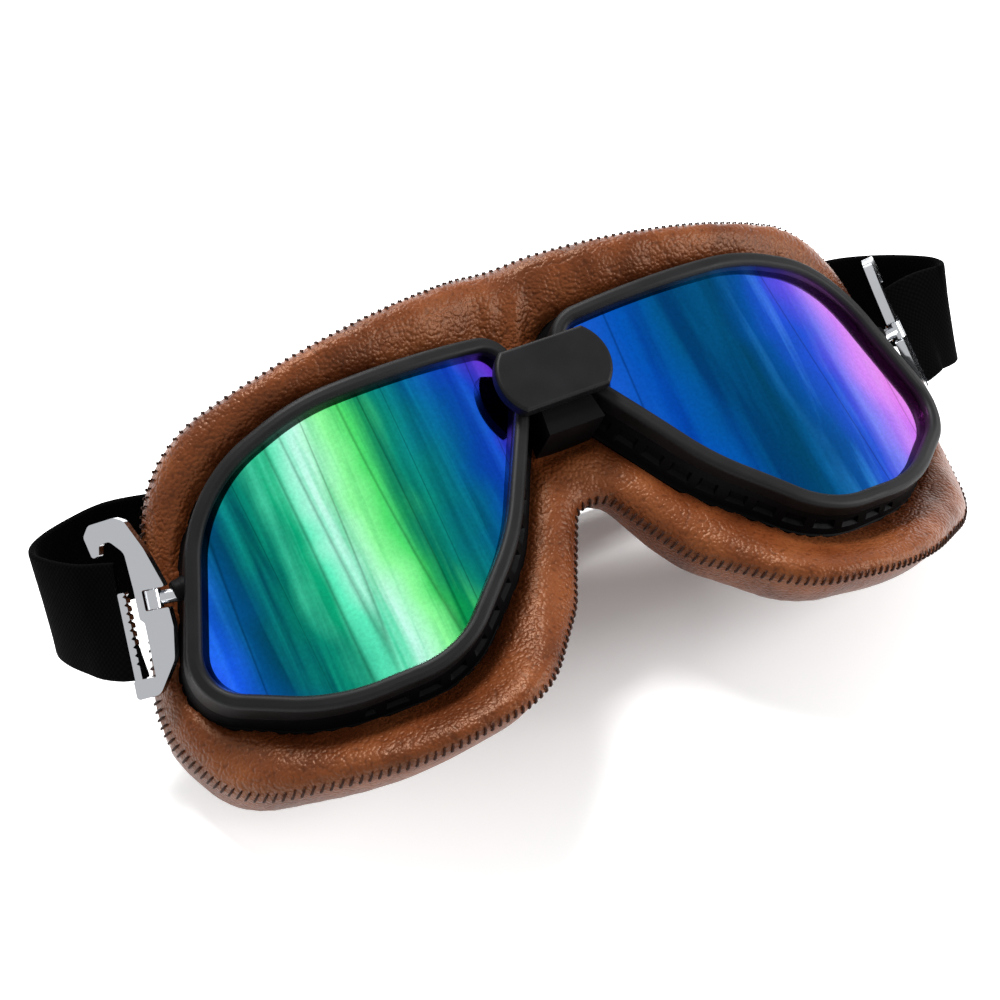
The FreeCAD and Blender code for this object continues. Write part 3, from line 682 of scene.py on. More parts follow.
def new_object(name: str, vertices: Sequence[Sequence[float]], faces: Sequence[Sequence[int]],
               sharp_deg: float | None = None) -> bpy.types.Object:
    """Makes a smooth mesh object from vertices and faces in the row frame.

    Args:
        name: the piece's name.
        vertices: places in metres.
        faces: vertex numbers of each face.
        sharp_deg: edges sharper than this stay crisp.

    Returns:
        The linked object.
    """
    mesh = bpy.data.meshes.new(name)
    mesh.from_pydata([tuple(v) for v in vertices], [], [tuple(f) for f in faces])
    mesh.update()
    mesh.shade_smooth()
    if sharp_deg is not None:
        mesh.set_sharp_from_angle(angle=math.radians(sharp_deg))
    piece = bpy.data.objects.new(name, mesh)
    bpy.context.scene.collection.objects.link(piece)
    LOG.info("%s: %d faces", name, len(faces))
    return piece


def dress(piece: bpy.types.Object, material: bpy.types.Material) -> None:
    """Gives a piece one material, in every slot that it has.

    Args:
        piece: the piece's object.
        material: its finish.
    """
    if not piece.data.materials:
        piece.data.materials.append(material)
    for slot in piece.material_slots:
        slot.material = material


def soften(piece: bpy.types.Object, width_mm: float, angle_deg: float = 38.0) -> None:
    """Rounds a solid's sharp edges with a bevel.

    Args:
        piece: the solid's object.
        width_mm: the rounding's width.
        angle_deg: edges sharper than this are rounded.
    """
    bevel = piece.modifiers.new("rounded_edges", "BEVEL")
    bevel.width = width_mm * MM
    bevel.segments = 3
    bevel.limit_method = "ANGLE"
    bevel.angle_limit = math.radians(angle_deg)
    bevel.use_clamp_overlap = True
    bevel.harden_normals = True


@dataclass
class Shapes:
    """Outlines of the rims and the mask, in millimetres on the bench."""

    rim_half_gap: float = 4.6
    rim_top: float = 9.4
    rim_width: float = 87.0
    rim_height: float = 63.0
    rim_corner: float = 7.0
    mask_half_width: float = 95.0
    mask_top: float = 24.8
    mask_height: float = 94.0
    rim_shares: tuple[Corner, ...] = ((0.0, 0.0, 1.0), (0.55, 0.0, 8.0), (0.84, -0.11, 4.0), (1.01, -0.74, 1.9),
                                      (0.735, -0.99, 5.0), (0.435, -1.01, 3.2), (0.20, -0.70, 8.0),
                                      (0.0, -0.235, 2.0))
    mask_shares: tuple[Corner, ...] = ((0.080, 0.0, 0.42), (0.386, -0.047, 0.63), (0.868, -0.111, 0.23),
                                       (1.022, -0.658, 0.30), (0.939, -0.890, 0.20), (0.619, -1.0, 0.60),
                                       (0.323, -0.970, 0.26), (0.148, -0.791, 0.21), (0.036, -0.581, 0.045))

    def rim(self, side: Side, distance: float = 0.0) -> Outline:
        """One rim's outline, grown by a distance.

        Args:
            side: the wearer's side.
            distance: how far out, in millimetres.

        Returns:
            The clockwise outline.
        """
        corners = [(self.rim_half_gap + x * self.rim_width, self.rim_top + y * self.rim_height,
                    r * self.rim_corner) for x, y, r in self.rim_shares]
        outline = Outline(corners).grown(distance)
        return outline if side is Side.LEFT else outline.mirrored()

    def mask(self) -> Outline:
        """The whole mask's outline along its seam."""
        half = [(x * self.mask_half_width, self.mask_top + y * self.mask_height, r * self.mask_half_width)
                for x, y, r in self.mask_shares]
        return Outline(half + [(-x, y, r) for x, y, r in reversed(half)])


@dataclass
class FacePiece:
    """A piece drawn flat on the bench and laid along the face's curve."""

    bench: Bench
    shapes: Shapes
    face: FaceCurve

    def spot(self, place: Sequence[float], depth: float) -> Vector:
        """Row-frame place of a bench point at a depth behind the rims' front."""
        return self.bench.row((place[0], place[1], self.face.level(place[0], depth)))


@dataclass
class VentSkirt(FacePiece):
    """Black skirt that flares from a rim to the leather, with vent slots towards nose and cheek."""

    flares: tuple[float, ...] = (1.0, 0.3, 0.3, 0.4, 1.2, 2.4, 3.2, 2.4)
    lip_depths: tuple[float, ...] = (7.2, 5.4, 6.2, 9.0, 8.6, 9.6, 9.8, 9.6)
    top_inset: float = 0.5
    top_depth: float = 3.6
    lip_round: float = 0.4
    slot_pitch: float = 6.4
    slot_length: float = 3.8
    slot_depth: float = 0.9
    slot_flare: float = 1.5
    slot_rows: Point = (0.38, 0.72)
    step: float = 0.5
    leather_gap: Point = (0.25, 0.1)
    rows: tuple[float, ...] = (0.0, 0.2, 0.36, 0.40, 0.70, 0.74, 0.9, 1.0)

    def _along(self, side: Side, step: float) -> tuple[Loop, np.ndarray]:
        """A rim's outline with its flare at each point, and the lip's depth there.

        Args:
            side: the wearer's side.
            step: distance between points, about.

        Returns:
            The outline with its flares, and the depths.
        """
        way = 1 if side is Side.LEFT else -1
        outline = self.shapes.rim(side)
        return outline.loop(step, self.flares[::way]), outline.loop(step, self.lip_depths[::way]).values

    def lip(self, side: Side, step: float) -> Loop:
        """The line where the leather meets the skirt, with its depth.

        Args:
            side: the wearer's side.
            step: distance between points, about.

        Returns:
            The closed line.
        """
        rim, depth = self._along(side, step)
        away, deeper = self.leather_gap
        return Loop(rim.points + rim.outward() * (rim.values + away)[:, None], depth + deeper)

    def build(self, side: Side) -> bpy.types.Object:
        """Builds one skirt as a closed ring.

        Args:
            side: the wearer's side.

        Returns:
            The skirt, in place.
        """
        rim, lip = self._along(side, self.step)
        out, flare, count = rim.outward(), rim.values, len(rim.points)
        phase = (np.arange(count) * self.step) % self.slot_pitch
        slot = (phase < self.slot_length) & (flare > self.slot_flare)
        inset, curl, (top, bottom) = self.top_inset, self.lip_round, self.slot_rows
        profile = [(-inset + (flare + inset) * t - np.where(slot & (top < t < bottom), self.slot_depth, 0.0),
                    self.top_depth + (lip - self.top_depth) * t) for t in self.rows]
        profile += [(flare + curl, lip + 0.5 * curl), (flare + curl, lip + 1.5 * curl),
                    (flare - curl, lip + 2.0 * curl), (np.full(count, -inset), lip + 2.0 * curl)]
        places: list[Vector] = []
        for away, depth in profile:
            places += [self.spot(p, d) for p, d in zip(rim.points + out * away[:, None], depth)]
        faces = []
        for k in range(len(profile)):
            low, high = k * count, (k + 1) % len(profile) * count
            faces += [[low + i, low + j, high + j, high + i] for i, j in around(count)]
        return new_object(f"{side.word}_vent_skirt", places, faces, sharp_deg=35.0)


@dataclass(frozen=True)
class Ripple:
    """Soft unevenness of the leather: a height in millimetres, ripples per millimetre, and a seed."""

    height: float
    across: float
    up: float
    seed: float

    def at(self, x: float, y: float) -> float:
        """Height at a bench place."""
        return self.height * noise.noise(Vector((x * self.across, y * self.up, self.seed)))


@dataclass
class MaskPad(FacePiece):
    """Padded leather mask: a puffed front, a fuller back, and a whip-stitched edge."""

    grid_mm: float = 1.5
    edge_mm: float = 1.1
    hole_inset: float = 1.1
    tuck_depth: float = 1.2
    crown_rise: float = 3.8
    bulge: float = 1.8
    bulge_start_y: float = -28.0
    bulge_ease: float = 12.0
    back_depth: float = 21.0
    back_round: float = 7.5
    mouth_round: float = 3.5
    mouth_drawn: float = 2.4
    tuck_ease: float = 2.5
    seam_depths: tuple[float, ...] = (3.9, 3.2, 4.6, 13.2, 7.4, 2.1, 1.5, 10.2, 8.5)
    block_half: float = 6.0
    block_low: float = -17.0
    block_top: float = 3.0
    block_depth: float = 9.8
    stitch_pitch: float = 1.7
    stitch_radius: float = 0.26
    stitch_path: tuple[Corner, ...] = ((-0.75, -0.2, 0.1), (-0.3375, -0.1, -0.12), (0.2, 0.0, 0.0),
                                       (0.18, 0.1, 0.7), (-0.2, 0.2, 1.4))
    on_leather: int = 2
    bow_powers: Point = (0.8, 0.6)
    bow_peak: float = 0.385
    narrow_rise: float = 0.35
    wide_span: float = 26.0
    uneven: Ripple = Ripple(0.40, 0.10, 0.10, 3.1)
    folds: Ripple = Ripple(0.35, 0.22, 0.07, 1.9)
    pucker: Ripple = Ripple(0.30, 0.36, 0.36, 7.7)
    pad: Ripple = Ripple(0.35, 0.11, 0.11, 9.3)
    nose_spot: Point = (15.0, 6.0)
    nose_y: float = 13.0
    gather: float = 0.55
    seam: Loop = field(init=False)
    rims: list[Loop] = field(init=False)

    def __post_init__(self) -> None:
        """Draws the seam and both skirts' lips with the leather's depth along them."""
        self.seam = self.shapes.mask().loop(self.edge_mm, self.seam_depths + self.seam_depths[::-1])
        skirt = VentSkirt(self.bench, self.shapes, self.face)
        self.rims = [skirt.lip(side, self.edge_mm) for side in Side]

    def build(self) -> tuple[bpy.types.Object, bpy.types.Object]:
        """Builds the pad as one closed mesh, and its stitching.

        Returns:
            The mask and the stitches, in place.
        """
        holes = [self.shapes.rim(side, -self.hole_inset).loop(self.edge_mm) for side in Side]
        flat, faces = tiles([self.seam, *holes], self.grid_mm)
        front = self.front(flat)
        back = self.back(flat, np.min([hole.nearest(flat)[0] for hole in holes], axis=0))
        count = len(self.seam.points)
        places = [self.spot(p, d) for p, d in zip(flat, front)]
        twin = list(range(count)) + [len(flat) + i for i in range(len(flat) - count)]
        full = self._bulged(flat)
        places += [self.spot(p, d) for p, d in zip(full[count:], back[count:])]
        return new_object("leather_mask", places, closed(faces, twin)), self._stitches()

    def front(self, flat: np.ndarray) -> np.ndarray:
        """Depth of the front leather, which swells between the seam and the rims.

        Args:
            flat: rows of bench x and y.

        Returns:
            One depth per row.
        """
        seam, seam_depth, _ = self.seam.nearest(flat)
        near = [rim.nearest(flat) for rim in self.rims]
        inside = np.any([rim.holds(flat) for rim in self.rims], axis=0)
        gaps = np.array([np.maximum(item[0], 1e-3) for item in near])
        pull = gaps ** -3.0
        touch = np.sum(pull * np.array([item[1] for item in near]), axis=0) / np.sum(pull, axis=0)
        gap = np.where(inside, 0.0, np.min(gaps, axis=0))
        span = np.maximum(seam + gap, 1e-6)
        share = gap / span
        ease = share * share * (3.0 - 2.0 * share)
        depth = touch + (seam_depth - touch) * ease
        rise, fall = self.bow_powers
        bow = np.maximum(0.0, share) ** rise * np.maximum(0.0, 1.0 - share) ** fall / self.bow_peak
        depth -= self.crown_rise * np.minimum(1.0, self.narrow_rise + span / self.wide_span) * bow
        depth -= np.array([self._creases(x, y, s, g) for (x, y), s, g in zip(flat, seam, gap)])
        depth = np.where(inside, touch + self.tuck_depth, depth)
        x, y = np.abs(flat[:, 0]), flat[:, 1]
        out = np.maximum.reduce([x - self.block_half, self.block_low - y, y - self.block_top, 0.0 * x])
        tuck = np.clip(1.0 - out / self.tuck_ease, 0.0, 1.0)
        return depth + tuck * np.maximum(0.0, self.block_depth - depth)

    def _creases(self, x: float, y: float, seam: float, gap: float) -> float:
        """Height of puckers beside the seam, gathers over the nose and slow unevenness.

        Args:
            x: bench place across.
            y: bench place up.
            seam: distance to the seam.
            gap: distance to the nearest rim.

        Returns:
            The height in millimetres.
        """
        fade = min(1.0, seam / 3.0) * min(1.0, gap / 2.0)
        pucker = self.pucker.at(x, y) * math.exp(-(seam - 2.6) ** 2 / 5.0)
        wide, tall = self.nose_spot
        nose = math.exp(-(x / wide) ** 2) * math.exp(-((y - self.nose_y) / tall) ** 2)
        gather = self.gather * math.sin(0.95 * x + 1.2 * math.sin(0.25 * y)) * nose * fade
        return self.uneven.at(x, y) * fade + pucker + gather + self.folds.at(x, y) * fade

    def back(self, flat: np.ndarray, mouth: np.ndarray) -> np.ndarray:
        """Depth of the face side: a full pad that rounds over to the seam and the eye holes.

        Args:
            flat: rows of bench x and y.
            mouth: distance of each row from the nearest eye hole.

        Returns:
            One depth per row.
        """
        seam, seam_depth, _ = self.seam.nearest(flat)
        near = np.minimum(1.0, seam / self.back_round)
        swell = np.sqrt(np.maximum(0.0, 1.0 - (1.0 - near) ** 2))
        lip = np.minimum(1.0, mouth / self.mouth_round)
        drawn = self.mouth_drawn * (1.0 - np.sqrt(np.maximum(0.0, 1.0 - (1.0 - lip) ** 2)))
        uneven = np.array([self.pad.at(x, y) for x, y in flat])
        return seam_depth + (self.back_depth - seam_depth - drawn + uneven) * swell

    def _bulged(self, flat: np.ndarray) -> np.ndarray:
        """Places of the back leather, which swells past the seam along the cheek lobes.

        Args:
            flat: rows of bench x and y.

        Returns:
            The rows, moved outwards.
        """
        gap, _, feet = self.seam.nearest(flat)
        out = (feet - flat) / np.maximum(gap, 1e-6)[:, None]
        wave = np.sin(np.pi * np.clip(gap / self.back_round, 0.0, 1.0))
        wave *= np.clip((self.bulge_start_y - flat[:, 1]) / self.bulge_ease, 0.0, 1.0)
        return flat + out * (self.bulge * wave)[:, None]

    def _stitches(self) -> bpy.types.Object:
        """Whip stitches of waxed thread that wrap the seam, as one mesh.

        Returns:
            The stitches, in place.
        """
        line = self.shapes.mask().loop(self.stitch_pitch, self.seam_depths + self.seam_depths[::-1])
        out = line.outward()
        lean = np.stack([out[:, 1], -out[:, 0]], axis=1)
        rows = []
        for number, (away, along, deeper) in enumerate(self.stitch_path):
            flat = line.points + out * away + lean * along
            depth = (self.front(flat) if number < self.on_leather else line.values) + deeper
            rows.append([self.spot(p, d) for p, d in zip(flat, depth)])
        vertices: list[Vector] = []
        faces: list[list[int]] = []
        for path in zip(*rows):
            add_tube(vertices, faces, path, self.stitch_radius * MM, 6)
        return new_object("whip_stitches", vertices, faces)


def add_tube(vertices: list[Vector], faces: list[list[int]], path: Sequence[Vector], radius: float,
             sides: int, end_share: float = 0.55) -> None:
    """Adds a closed tube with narrowed ends to a mesh in the making.

    Args:
        vertices: the mesh's vertices so far.
        faces: the mesh's faces so far.
        path: places along the tube's middle.
        radius: the tube's radius.
        sides: faces round the tube.
        end_share: share of the radius at its ends.
    """
    last = len(path) - 1
    faces += hoops(len(path), sides, len(vertices))
    for k, point in enumerate(path):
        along = (path[min(k + 1, last)] - path[max(k - 1, 0)]).normalized()
        across = along.orthogonal().normalized()
        over = along.cross(across)
        size = radius * (end_share if k in (0, last) else 1.0)
        vertices += [point + (across * math.cos(angle) + over * math.sin(angle)) * size
                     for angle in (math.tau * side / sides for side in range(sides))]


@dataclass
class LensSheet(FacePiece):
    """Curved mirrored lens that sits under the rim's lip."""

    edge: float = -1.9
    front_depth: float = 2.8
    back_depth: float = 4.8
    edge_mm: float = 1.6
    grid_mm: float = 2.4

    def build(self, side: Side) -> bpy.types.Object:
        """Builds one lens as a closed sheet.

        Args:
            side: the wearer's side.

        Returns:
            The lens, in place.
        """
        loop = self.shapes.rim(side, self.edge).loop(self.edge_mm)
        flat, faces = tiles([loop], self.grid_mm)
        places = [self.spot(p, depth) for depth in (self.front_depth, self.back_depth) for p in flat]
        shell = closed(faces, range(len(flat), 2 * len(flat)))
        return new_object(f"{side.word}_mirror_lens", places, shell, sharp_deg=40.0)


@dataclass
class TempleBoss:
    """Moulded boss on the rim's outer side that holds a hook's post."""

    bench: Bench
    pivot: Corner = HOOK_PIVOT
    profile: tuple[Point, ...] = ((-3.8, 1.5), (-3.85, 1.8), (-4.1, 2.1), (-4.5, 2.25), (-5.4, 2.3),
                                  (-5.7, 2.4), (-6.0, 2.5), (-7.1, 2.5))
    sides: int = 32

    def build(self, side: Side) -> bpy.types.Object:
        """Turns one boss about the post's line.

        Args:
            side: the wearer's side.

        Returns:
            The boss, in place.
        """
        way, (x, y, z) = side.value, self.pivot
        angles = [way * math.tau * k / self.sides for k in range(self.sides)]
        places = [self.bench.row((way * (x + away), y + radius * math.cos(angle), z + radius * math.sin(angle)))
                  for away, radius in self.profile for angle in angles]
        faces = hoops(len(self.profile), self.sides, flip=True)
        return new_object(f"{side.word}_temple_boss", places, faces, sharp_deg=50.0)


@dataclass
class Strap:
    """Flat elastic strap: two ends that fold back from the hooks, and the rear band between them."""

    bench: Bench
    width: float = 24.0
    thickness: float = 1.4
    pivot: Corner = HOOK_PIVOT
    tilt: float = 20.0
    roll: float = 8.0
    swing: dict[Side, float] = field(default_factory=lambda: {Side.LEFT: 50.0, Side.RIGHT: 34.0})
    clamp_x: float = 6.5
    start_x: float = 8.5
    strap_y: float = -3.2
    fold_tilt: float = 46.0
    band_half: float = 40.0
    band_y: float = -9.8
    band_z: float = -47.8
    band_tilt: float = 63.0
    folds: dict[Side, tuple[Corner, ...]] = field(default_factory=lambda: {
        Side.LEFT: ((11.6, 1.2, -6.0), (18.6, 1.6, -6.6), (20.4, 5.6, -10.6), (16.4, 11.0, -16.0),
                    (10.4, 15.4, -20.4), (3.6, 18.4, -23.6), (-5.0, 19.4, -25.2)),
        Side.RIGHT: ((12.2, 3.0, -8.5), (16.4, 8.5, -13.5), (17.2, 12.7, -17.1), (13.8, 16.3, -20.4),
                     (6.6, 18.8, -22.7), (-1.0, 20.1, -24.2), (-9.0, 19.0, -24.3))})
    twists: tuple[float, ...] = (0.3, 0.6, 0.85, 1.0, 1.0, 1.0, 1.0)
    square_mm: float = 12.0
    strands: int = 13
    edge_arc_deg: Corner = (60.0, 0.0, -60.0)
    bend_way: Corner = (-0.5, 0.5, -0.7)
    bend_span: Point = (3.0, 45.0)

    def end(self, side: Side) -> tuple[bpy.types.Object, float]:
        """Builds one end, from the hook's toothed clamp to the rear band.

        Args:
            side: the wearer's side.

        Returns:
            The end in place, and its length in millimetres.
        """
        points, widths = self._stations(side)
        return self._ribbon(f"{side.word}_strap_run", points, widths, Vector((-side.value, 0.0, 0.0)))

    def band(self) -> tuple[bpy.types.Object, float]:
        """Builds the straight rear band, and gives its length in millimetres."""
        points = [Vector((x, self.band_y, self.band_z)) for x in (self.band_half, 0.0, -self.band_half)]
        widths = [self._across(self.band_tilt)] * len(points)
        return self._ribbon("rear_strap_run", points, widths, Vector((-1.0, 0.0, 0.0)))

    def bend(self, side: Side) -> tuple[Vector, Vector]:
        """Row-frame places between which an end's hook side gives way to its band side.

        Args:
            side: the wearer's side.

        Returns:
            The place where the bend starts, and where it ends.
        """
        base, way = (Vector((side.value * x, y, z)) for x, y, z in (self.pivot, self.bend_way))
        start, stop = (self.bench.row(base + reach * way) for reach in self.bend_span)
        return start, stop

    @staticmethod
    def _across(tilt: float) -> Vector:
        """Direction of the strap's width at a tilt about X."""
        return Vector((0.0, math.cos(math.radians(tilt)), math.sin(math.radians(tilt))))

    def _stations(self, side: Side) -> tuple[list[Vector], list[Vector]]:
        """Places along the middle of an end, with the direction of its width at each.

        Args:
            side: the wearer's side.

        Returns:
            The places and the directions, on the bench.
        """
        s = side.value
        base = Vector((s * self.pivot[0], self.pivot[1], self.pivot[2]))
        turn = (Matrix.Rotation(math.radians(s * self.roll), 3, "Z")
                @ Matrix.Rotation(math.radians(self.tilt), 3, "X")
                @ Matrix.Rotation(math.radians(s * self.swing[side]), 3, "Y"))
        points = [base + turn @ Vector((s * x, self.strap_y, 0.0)) for x in (self.clamp_x, self.start_x)]
        widths = [turn @ Vector((0.0, 1.0, 0.0))] * 2
        for (x, y, z), share in zip(self.folds[side], self.twists):
            points.append(base + Vector((s * x, y, z)))
            widths.append(self._across(self.tilt + (self.fold_tilt - self.tilt) * share))
        last, goal = points[-1], Vector((s * self.band_half, self.band_y, self.band_z))
        for share in (0.25, 0.5, 0.75, 1.0):
            ease = share * share * (3.0 - 2.0 * share)
            points.append(Vector((last.x + (goal.x - last.x) * share, last.y + (goal.y - last.y) * ease,
                                  last.z + (goal.z - last.z) * ease)))
            widths.append(self._across(self.fold_tilt + (self.band_tilt - self.fold_tilt) * ease))
        return points, widths

    def _ribbon(self, name: str, points: Sequence[Vector], widths: Sequence[Vector],
                leave: Vector) -> tuple[bpy.types.Object, float]:
        """Sweeps the strap's flat section along smooth places.

        Args:
            name: the piece's name.
            points: places along its middle, in bench millimetres.
            widths: direction of its width at each.
            leave: direction in which it runs at its far end.

        Returns:
            The ribbon with a UV map in millimetres, and its length.
        """
        middle, across = self._smooth(points, widths)
        half, thick = 0.5 * self.width, 0.5 * self.thickness
        flat = np.linspace(-half + thick, half - thick, self.strands)
        arc = np.radians(self.edge_arc_deg)
        section = [(u, thick) for u in flat]
        section += [(half - thick + thick * math.cos(a), thick * math.sin(a)) for a in arc]
        section += [(u, -thick) for u in flat[::-1]]
        section += [(-half + thick - thick * math.cos(a), -thick * math.sin(a)) for a in arc]
        lengths = np.concatenate([[0.0], np.cumsum([(b - a).length for a, b in zip(middle, middle[1:])])])
        places, sides = [], len(section)
        for k, (point, wide) in enumerate(zip(middle, across)):
            along = (middle[min(k + 1, len(middle) - 1)] - middle[max(k - 1, 0)]).normalized()
            near = max(0.0, 1.0 - (lengths[-1] - lengths[k]) / self.square_mm)
            along = along.lerp(leave, near).normalized()
            wide = (wide - along * wide.dot(along)).normalized()
            over = along.cross(wide)
            places += [self.bench.row(point + wide * u + over * h) for u, h in section]
        ribbon = new_object(name, places, hoops(len(middle), sides, flip=True))
        weave = ribbon.data.uv_layers.new(name="weave")
        corner = np.zeros(len(ribbon.data.loops), int)
        ribbon.data.loops.foreach_get("vertex_index", corner)
        across_mm = np.array([u for u, _ in section])[corner % sides]
        uv = np.stack([lengths[corner // sides], across_mm], axis=1)
        weave.data.foreach_set("uv", uv.astype(np.float32).ravel())
        return ribbon, float(lengths[-1])

    @staticmethod
    def _smooth(points: Sequence[Vector], widths: Sequence[Vector]) -> tuple[list[Vector], list[Vector]]:
        """Rounds the stations to a Catmull-Rom line of places about a millimetre apart.

        Args:
            points: the stations.
            widths: direction of the strap's width at each.

        Returns:
            The close places, and the directions there.
        """
        middle: list[Vector] = []
        across: list[Vector] = []
        last = len(points) - 1
        for k in range(last):
            p0, p1, p2, p3 = (points[min(max(k + j, 0), last)] for j in (-1, 0, 1, 2))
            steps = max(3, int((p2 - p1).length))
            for i in range(steps + (1 if k == last - 1 else 0)):
                t = i / steps
                middle.append(0.5 * (2.0 * p1 + (p2 - p0) * t + (2.0 * p0 - 5.0 * p1 + 4.0 * p2 - p3) * t ** 2
                                     + (3.0 * p1 - p0 - 3.0 * p2 + p3) * t ** 3))
                across.append(widths[k].lerp(widths[k + 1], t))
        return middle, across


@dataclass(frozen=True)
class Softbox:
    """A soft lamp: its place and size in metres, and its power."""

    name: str
    place: Corner
    size: Point
    watts: float


@dataclass
class Studio:
    """White sweep, soft lamps and the camera of the photograph."""

    bench: Bench
    azimuth: float = -21.1
    elevation: float = -15.4
    roll: float = -26.0
    distance_mm: float = 428.1
    focal_px: float = 2115.7
    frame_px: float = 1000.0
    target_mm: Corner = (-20.5, -24.2, 0.0)
    sensor_mm: float = 36.0
    near_m: float = 0.01
    floor_half: float = 3.0
    floor_z: float = -0.0002
    ambient: float = 0.38
    aim: Corner = (0.0, 0.0, 0.03)

    def build(self) -> None:
        """Places floor, world, lamps and camera."""
        self._camera()
        self._floor()
        self._world()
        self._light()
        bpy.context.scene.view_settings.view_transform = "Standard"

    def _camera(self) -> None:
        """Sets the camera by its angles about the worn goggles."""
        az, el, roll = (math.radians(a) for a in (self.azimuth, self.elevation, self.roll))
        back = Vector((math.sin(az) * math.cos(el), math.sin(el), math.cos(az) * math.cos(el)))
        right = (-back).cross(Vector((0.0, 1.0, 0.0))).normalized()
        up = right.cross(-back)
        across = right * math.cos(roll) + up * math.sin(roll)
        over = up * math.cos(roll) - right * math.sin(roll)
        spot = Vector(self.target_mm) + back * self.distance_mm
        data = bpy.data.cameras.new("camera")
        data.sensor_width = self.sensor_mm
        data.lens = self.sensor_mm * self.focal_px / self.frame_px
        data.clip_start = self.near_m
        camera = bpy.data.objects.new("camera", data)
        bpy.context.scene.collection.objects.link(camera)
        axes = [self.bench.way(v) for v in (across, over, back)]
        pose = Matrix((axes[0], axes[1], axes[2])).transposed().to_4x4()
        pose.translation = self.bench.row(spot)
        camera.matrix_world = pose
        bpy.context.scene.camera = camera

    def _floor(self) -> None:
        """A white card floor that takes the shadow, and glows to the eye away from the goggles."""
        size = self.floor_half
        corners = [(x * size, y * size, self.floor_z) for x, y in ((-1, -1), (1, -1), (1, 1), (-1, 1))]
        floor = new_object("floor", corners, [(0, 1, 2, 3)])
        dress(floor, FLOOR_CARD.material())

    def _world(self) -> None:
        """A world that is white to the eye, to metal and to glass, and gives plain soft light."""
        world = bpy.data.worlds.new("studio")
        bpy.context.scene.world = world
        recipe = Recipe(world, "Background")
        path = recipe.add("ShaderNodeLightPath").outputs
        seen = path["Is Camera Ray"]
        for ray in ("Is Glossy Ray", "Is Transmission Ray"):
            seen = recipe.add("ShaderNodeMath", {0: seen, 1: path[ray]}, operation="MAXIMUM")
        level = recipe.add("ShaderNodeMapRange", {0: seen, 3: self.ambient, 4: 1.0})
        recipe.surface({"Color": linear("#FFFFFF"), "Strength": level})

    def _light(self) -> None:
        """Places the soft lamps, each turned to the goggles."""
        for box in SOFTBOXES:
            data = bpy.data.lights.new(box.name, "AREA")
            data.shape = "RECTANGLE"
            data.size, data.size_y = box.size
            data.energy = box.watts
            lamp = bpy.data.objects.new(box.name, data)
            lamp.location = box.place
            aim = Vector(self.aim) - Vector(box.place)
            lamp.rotation_euler = aim.to_track_quat("-Z", "Y").to_euler()
            bpy.context.scene.collection.objects.link(lamp)


# Overhead key towards the back, a fill at the front on the wearer's left, and a low lamp from behind.
SOFTBOXES = (Softbox("key_softbox", (-0.08, 0.37, 0.85), (0.36, 0.24), 10.5),
             Softbox("fill_softbox", (0.7, -0.5, 0.4), (0.5, 0.5), 7.0),
             Softbox("rear_softbox", (0.15, 0.75, 0.45), (0.6, 0.25), 2.5))
# Matt white card: no gloss; its painted glow is dimmed near the goggles, so painted shade deepens their soft
# shadow there.
FLOOR_CARD = CardFinish("floor_white_card", "#F2F2F2")
# Brown cowhide with a pressed grain: warm broken highlights on the pebbles, darker pores between them.
MASK_LEATHER = LeatherFinish("pigmented_cowhide", "#50250F", "#643217", "#764122")
# Waxed linen thread of the whip stitch: dark brown, with a dull sheen.
STITCH_THREAD = MouldedFinish("waxed_thread", "#2A150C", "#3A1E12", 0.6, texture_mm=0.3, depth_mm=0.05)
# Moulded nylon of the rims: charcoal, with a broad satin highlight along the edge.
RIM_NYLON = MouldedFinish("charcoal_nylon", "#0A0A0B", "#121214", 0.5, 0.16)
# Moulded ABS of the bridge block, eye cups, skirts, bosses and slider: a flat deep black.
FRAME_ABS = MouldedFinish("black_abs", "#040405", "#080809", 0.5, 0.05)
# Moulded ABS of the bridge cap: black, and a little glossier than the frame.
CAP_ABS = MouldedFinish("cap_satin_abs", "#0A0A0B", "#111113", 0.42, 0.14)
# Moulded rubber of the lens seals: soft matt black.
GASKET_RUBBER = MouldedFinish("gasket_rubber", "#050505", "#0A0A0A", 0.7, 0.05)
# Polished chrome plate of the hooks and their posts: bright, and it mirrors the white room.
HOOK_CHROME = MetalFinish("polished_chrome", "#B2B4B8", 0.1)
# Turned steel of the hinge pins and rivets: greyer, with blurred reflections.
PIN_STEEL = MetalFinish("turned_steel", "#9A9CA0", 0.25)
# Woven elastic webbing: dull black with faint ribs.
STRAP_ELASTIC = ElasticFinish("woven_elastic", "#010101", "#050506")
# Right lens: violet and blue at the temple, green over the eye, and blue again at the nose; brighter tints for its
# painted highlight streaks.
RIGHT_COAT = MirrorCoatFinish(
    "mirror_coat_right", -93.0, -5.0,
    tints=((0.0, "#1A2AD8"), (0.08, "#1A5CF0"), (0.17, "#06508E"), (0.23, "#03465E"), (0.30, "#04605A"),
           (0.36, "#0FA878"), (0.42, "#58E0B0"), (0.50, "#1FB868"), (0.58, "#0E9A50"), (0.64, "#06705A"),
           (0.72, "#04586C"), (0.80, "#064A9A"), (0.89, "#1033B8"), (1.0, "#4A1CB0")),
    flare=((0.0, "#3040F0"), (0.10, "#2A7CFA"), (0.20, "#0A6C8C"), (0.30, "#10A080"), (0.38, "#60F0C0"),
           (0.45, "#C4FFEC"), (0.53, "#90FFA0"), (0.58, "#50E070"), (0.66, "#109078"), (0.76, "#0C78A8"),
           (0.88, "#1A50D0"), (1.0, "#6A30D0")))
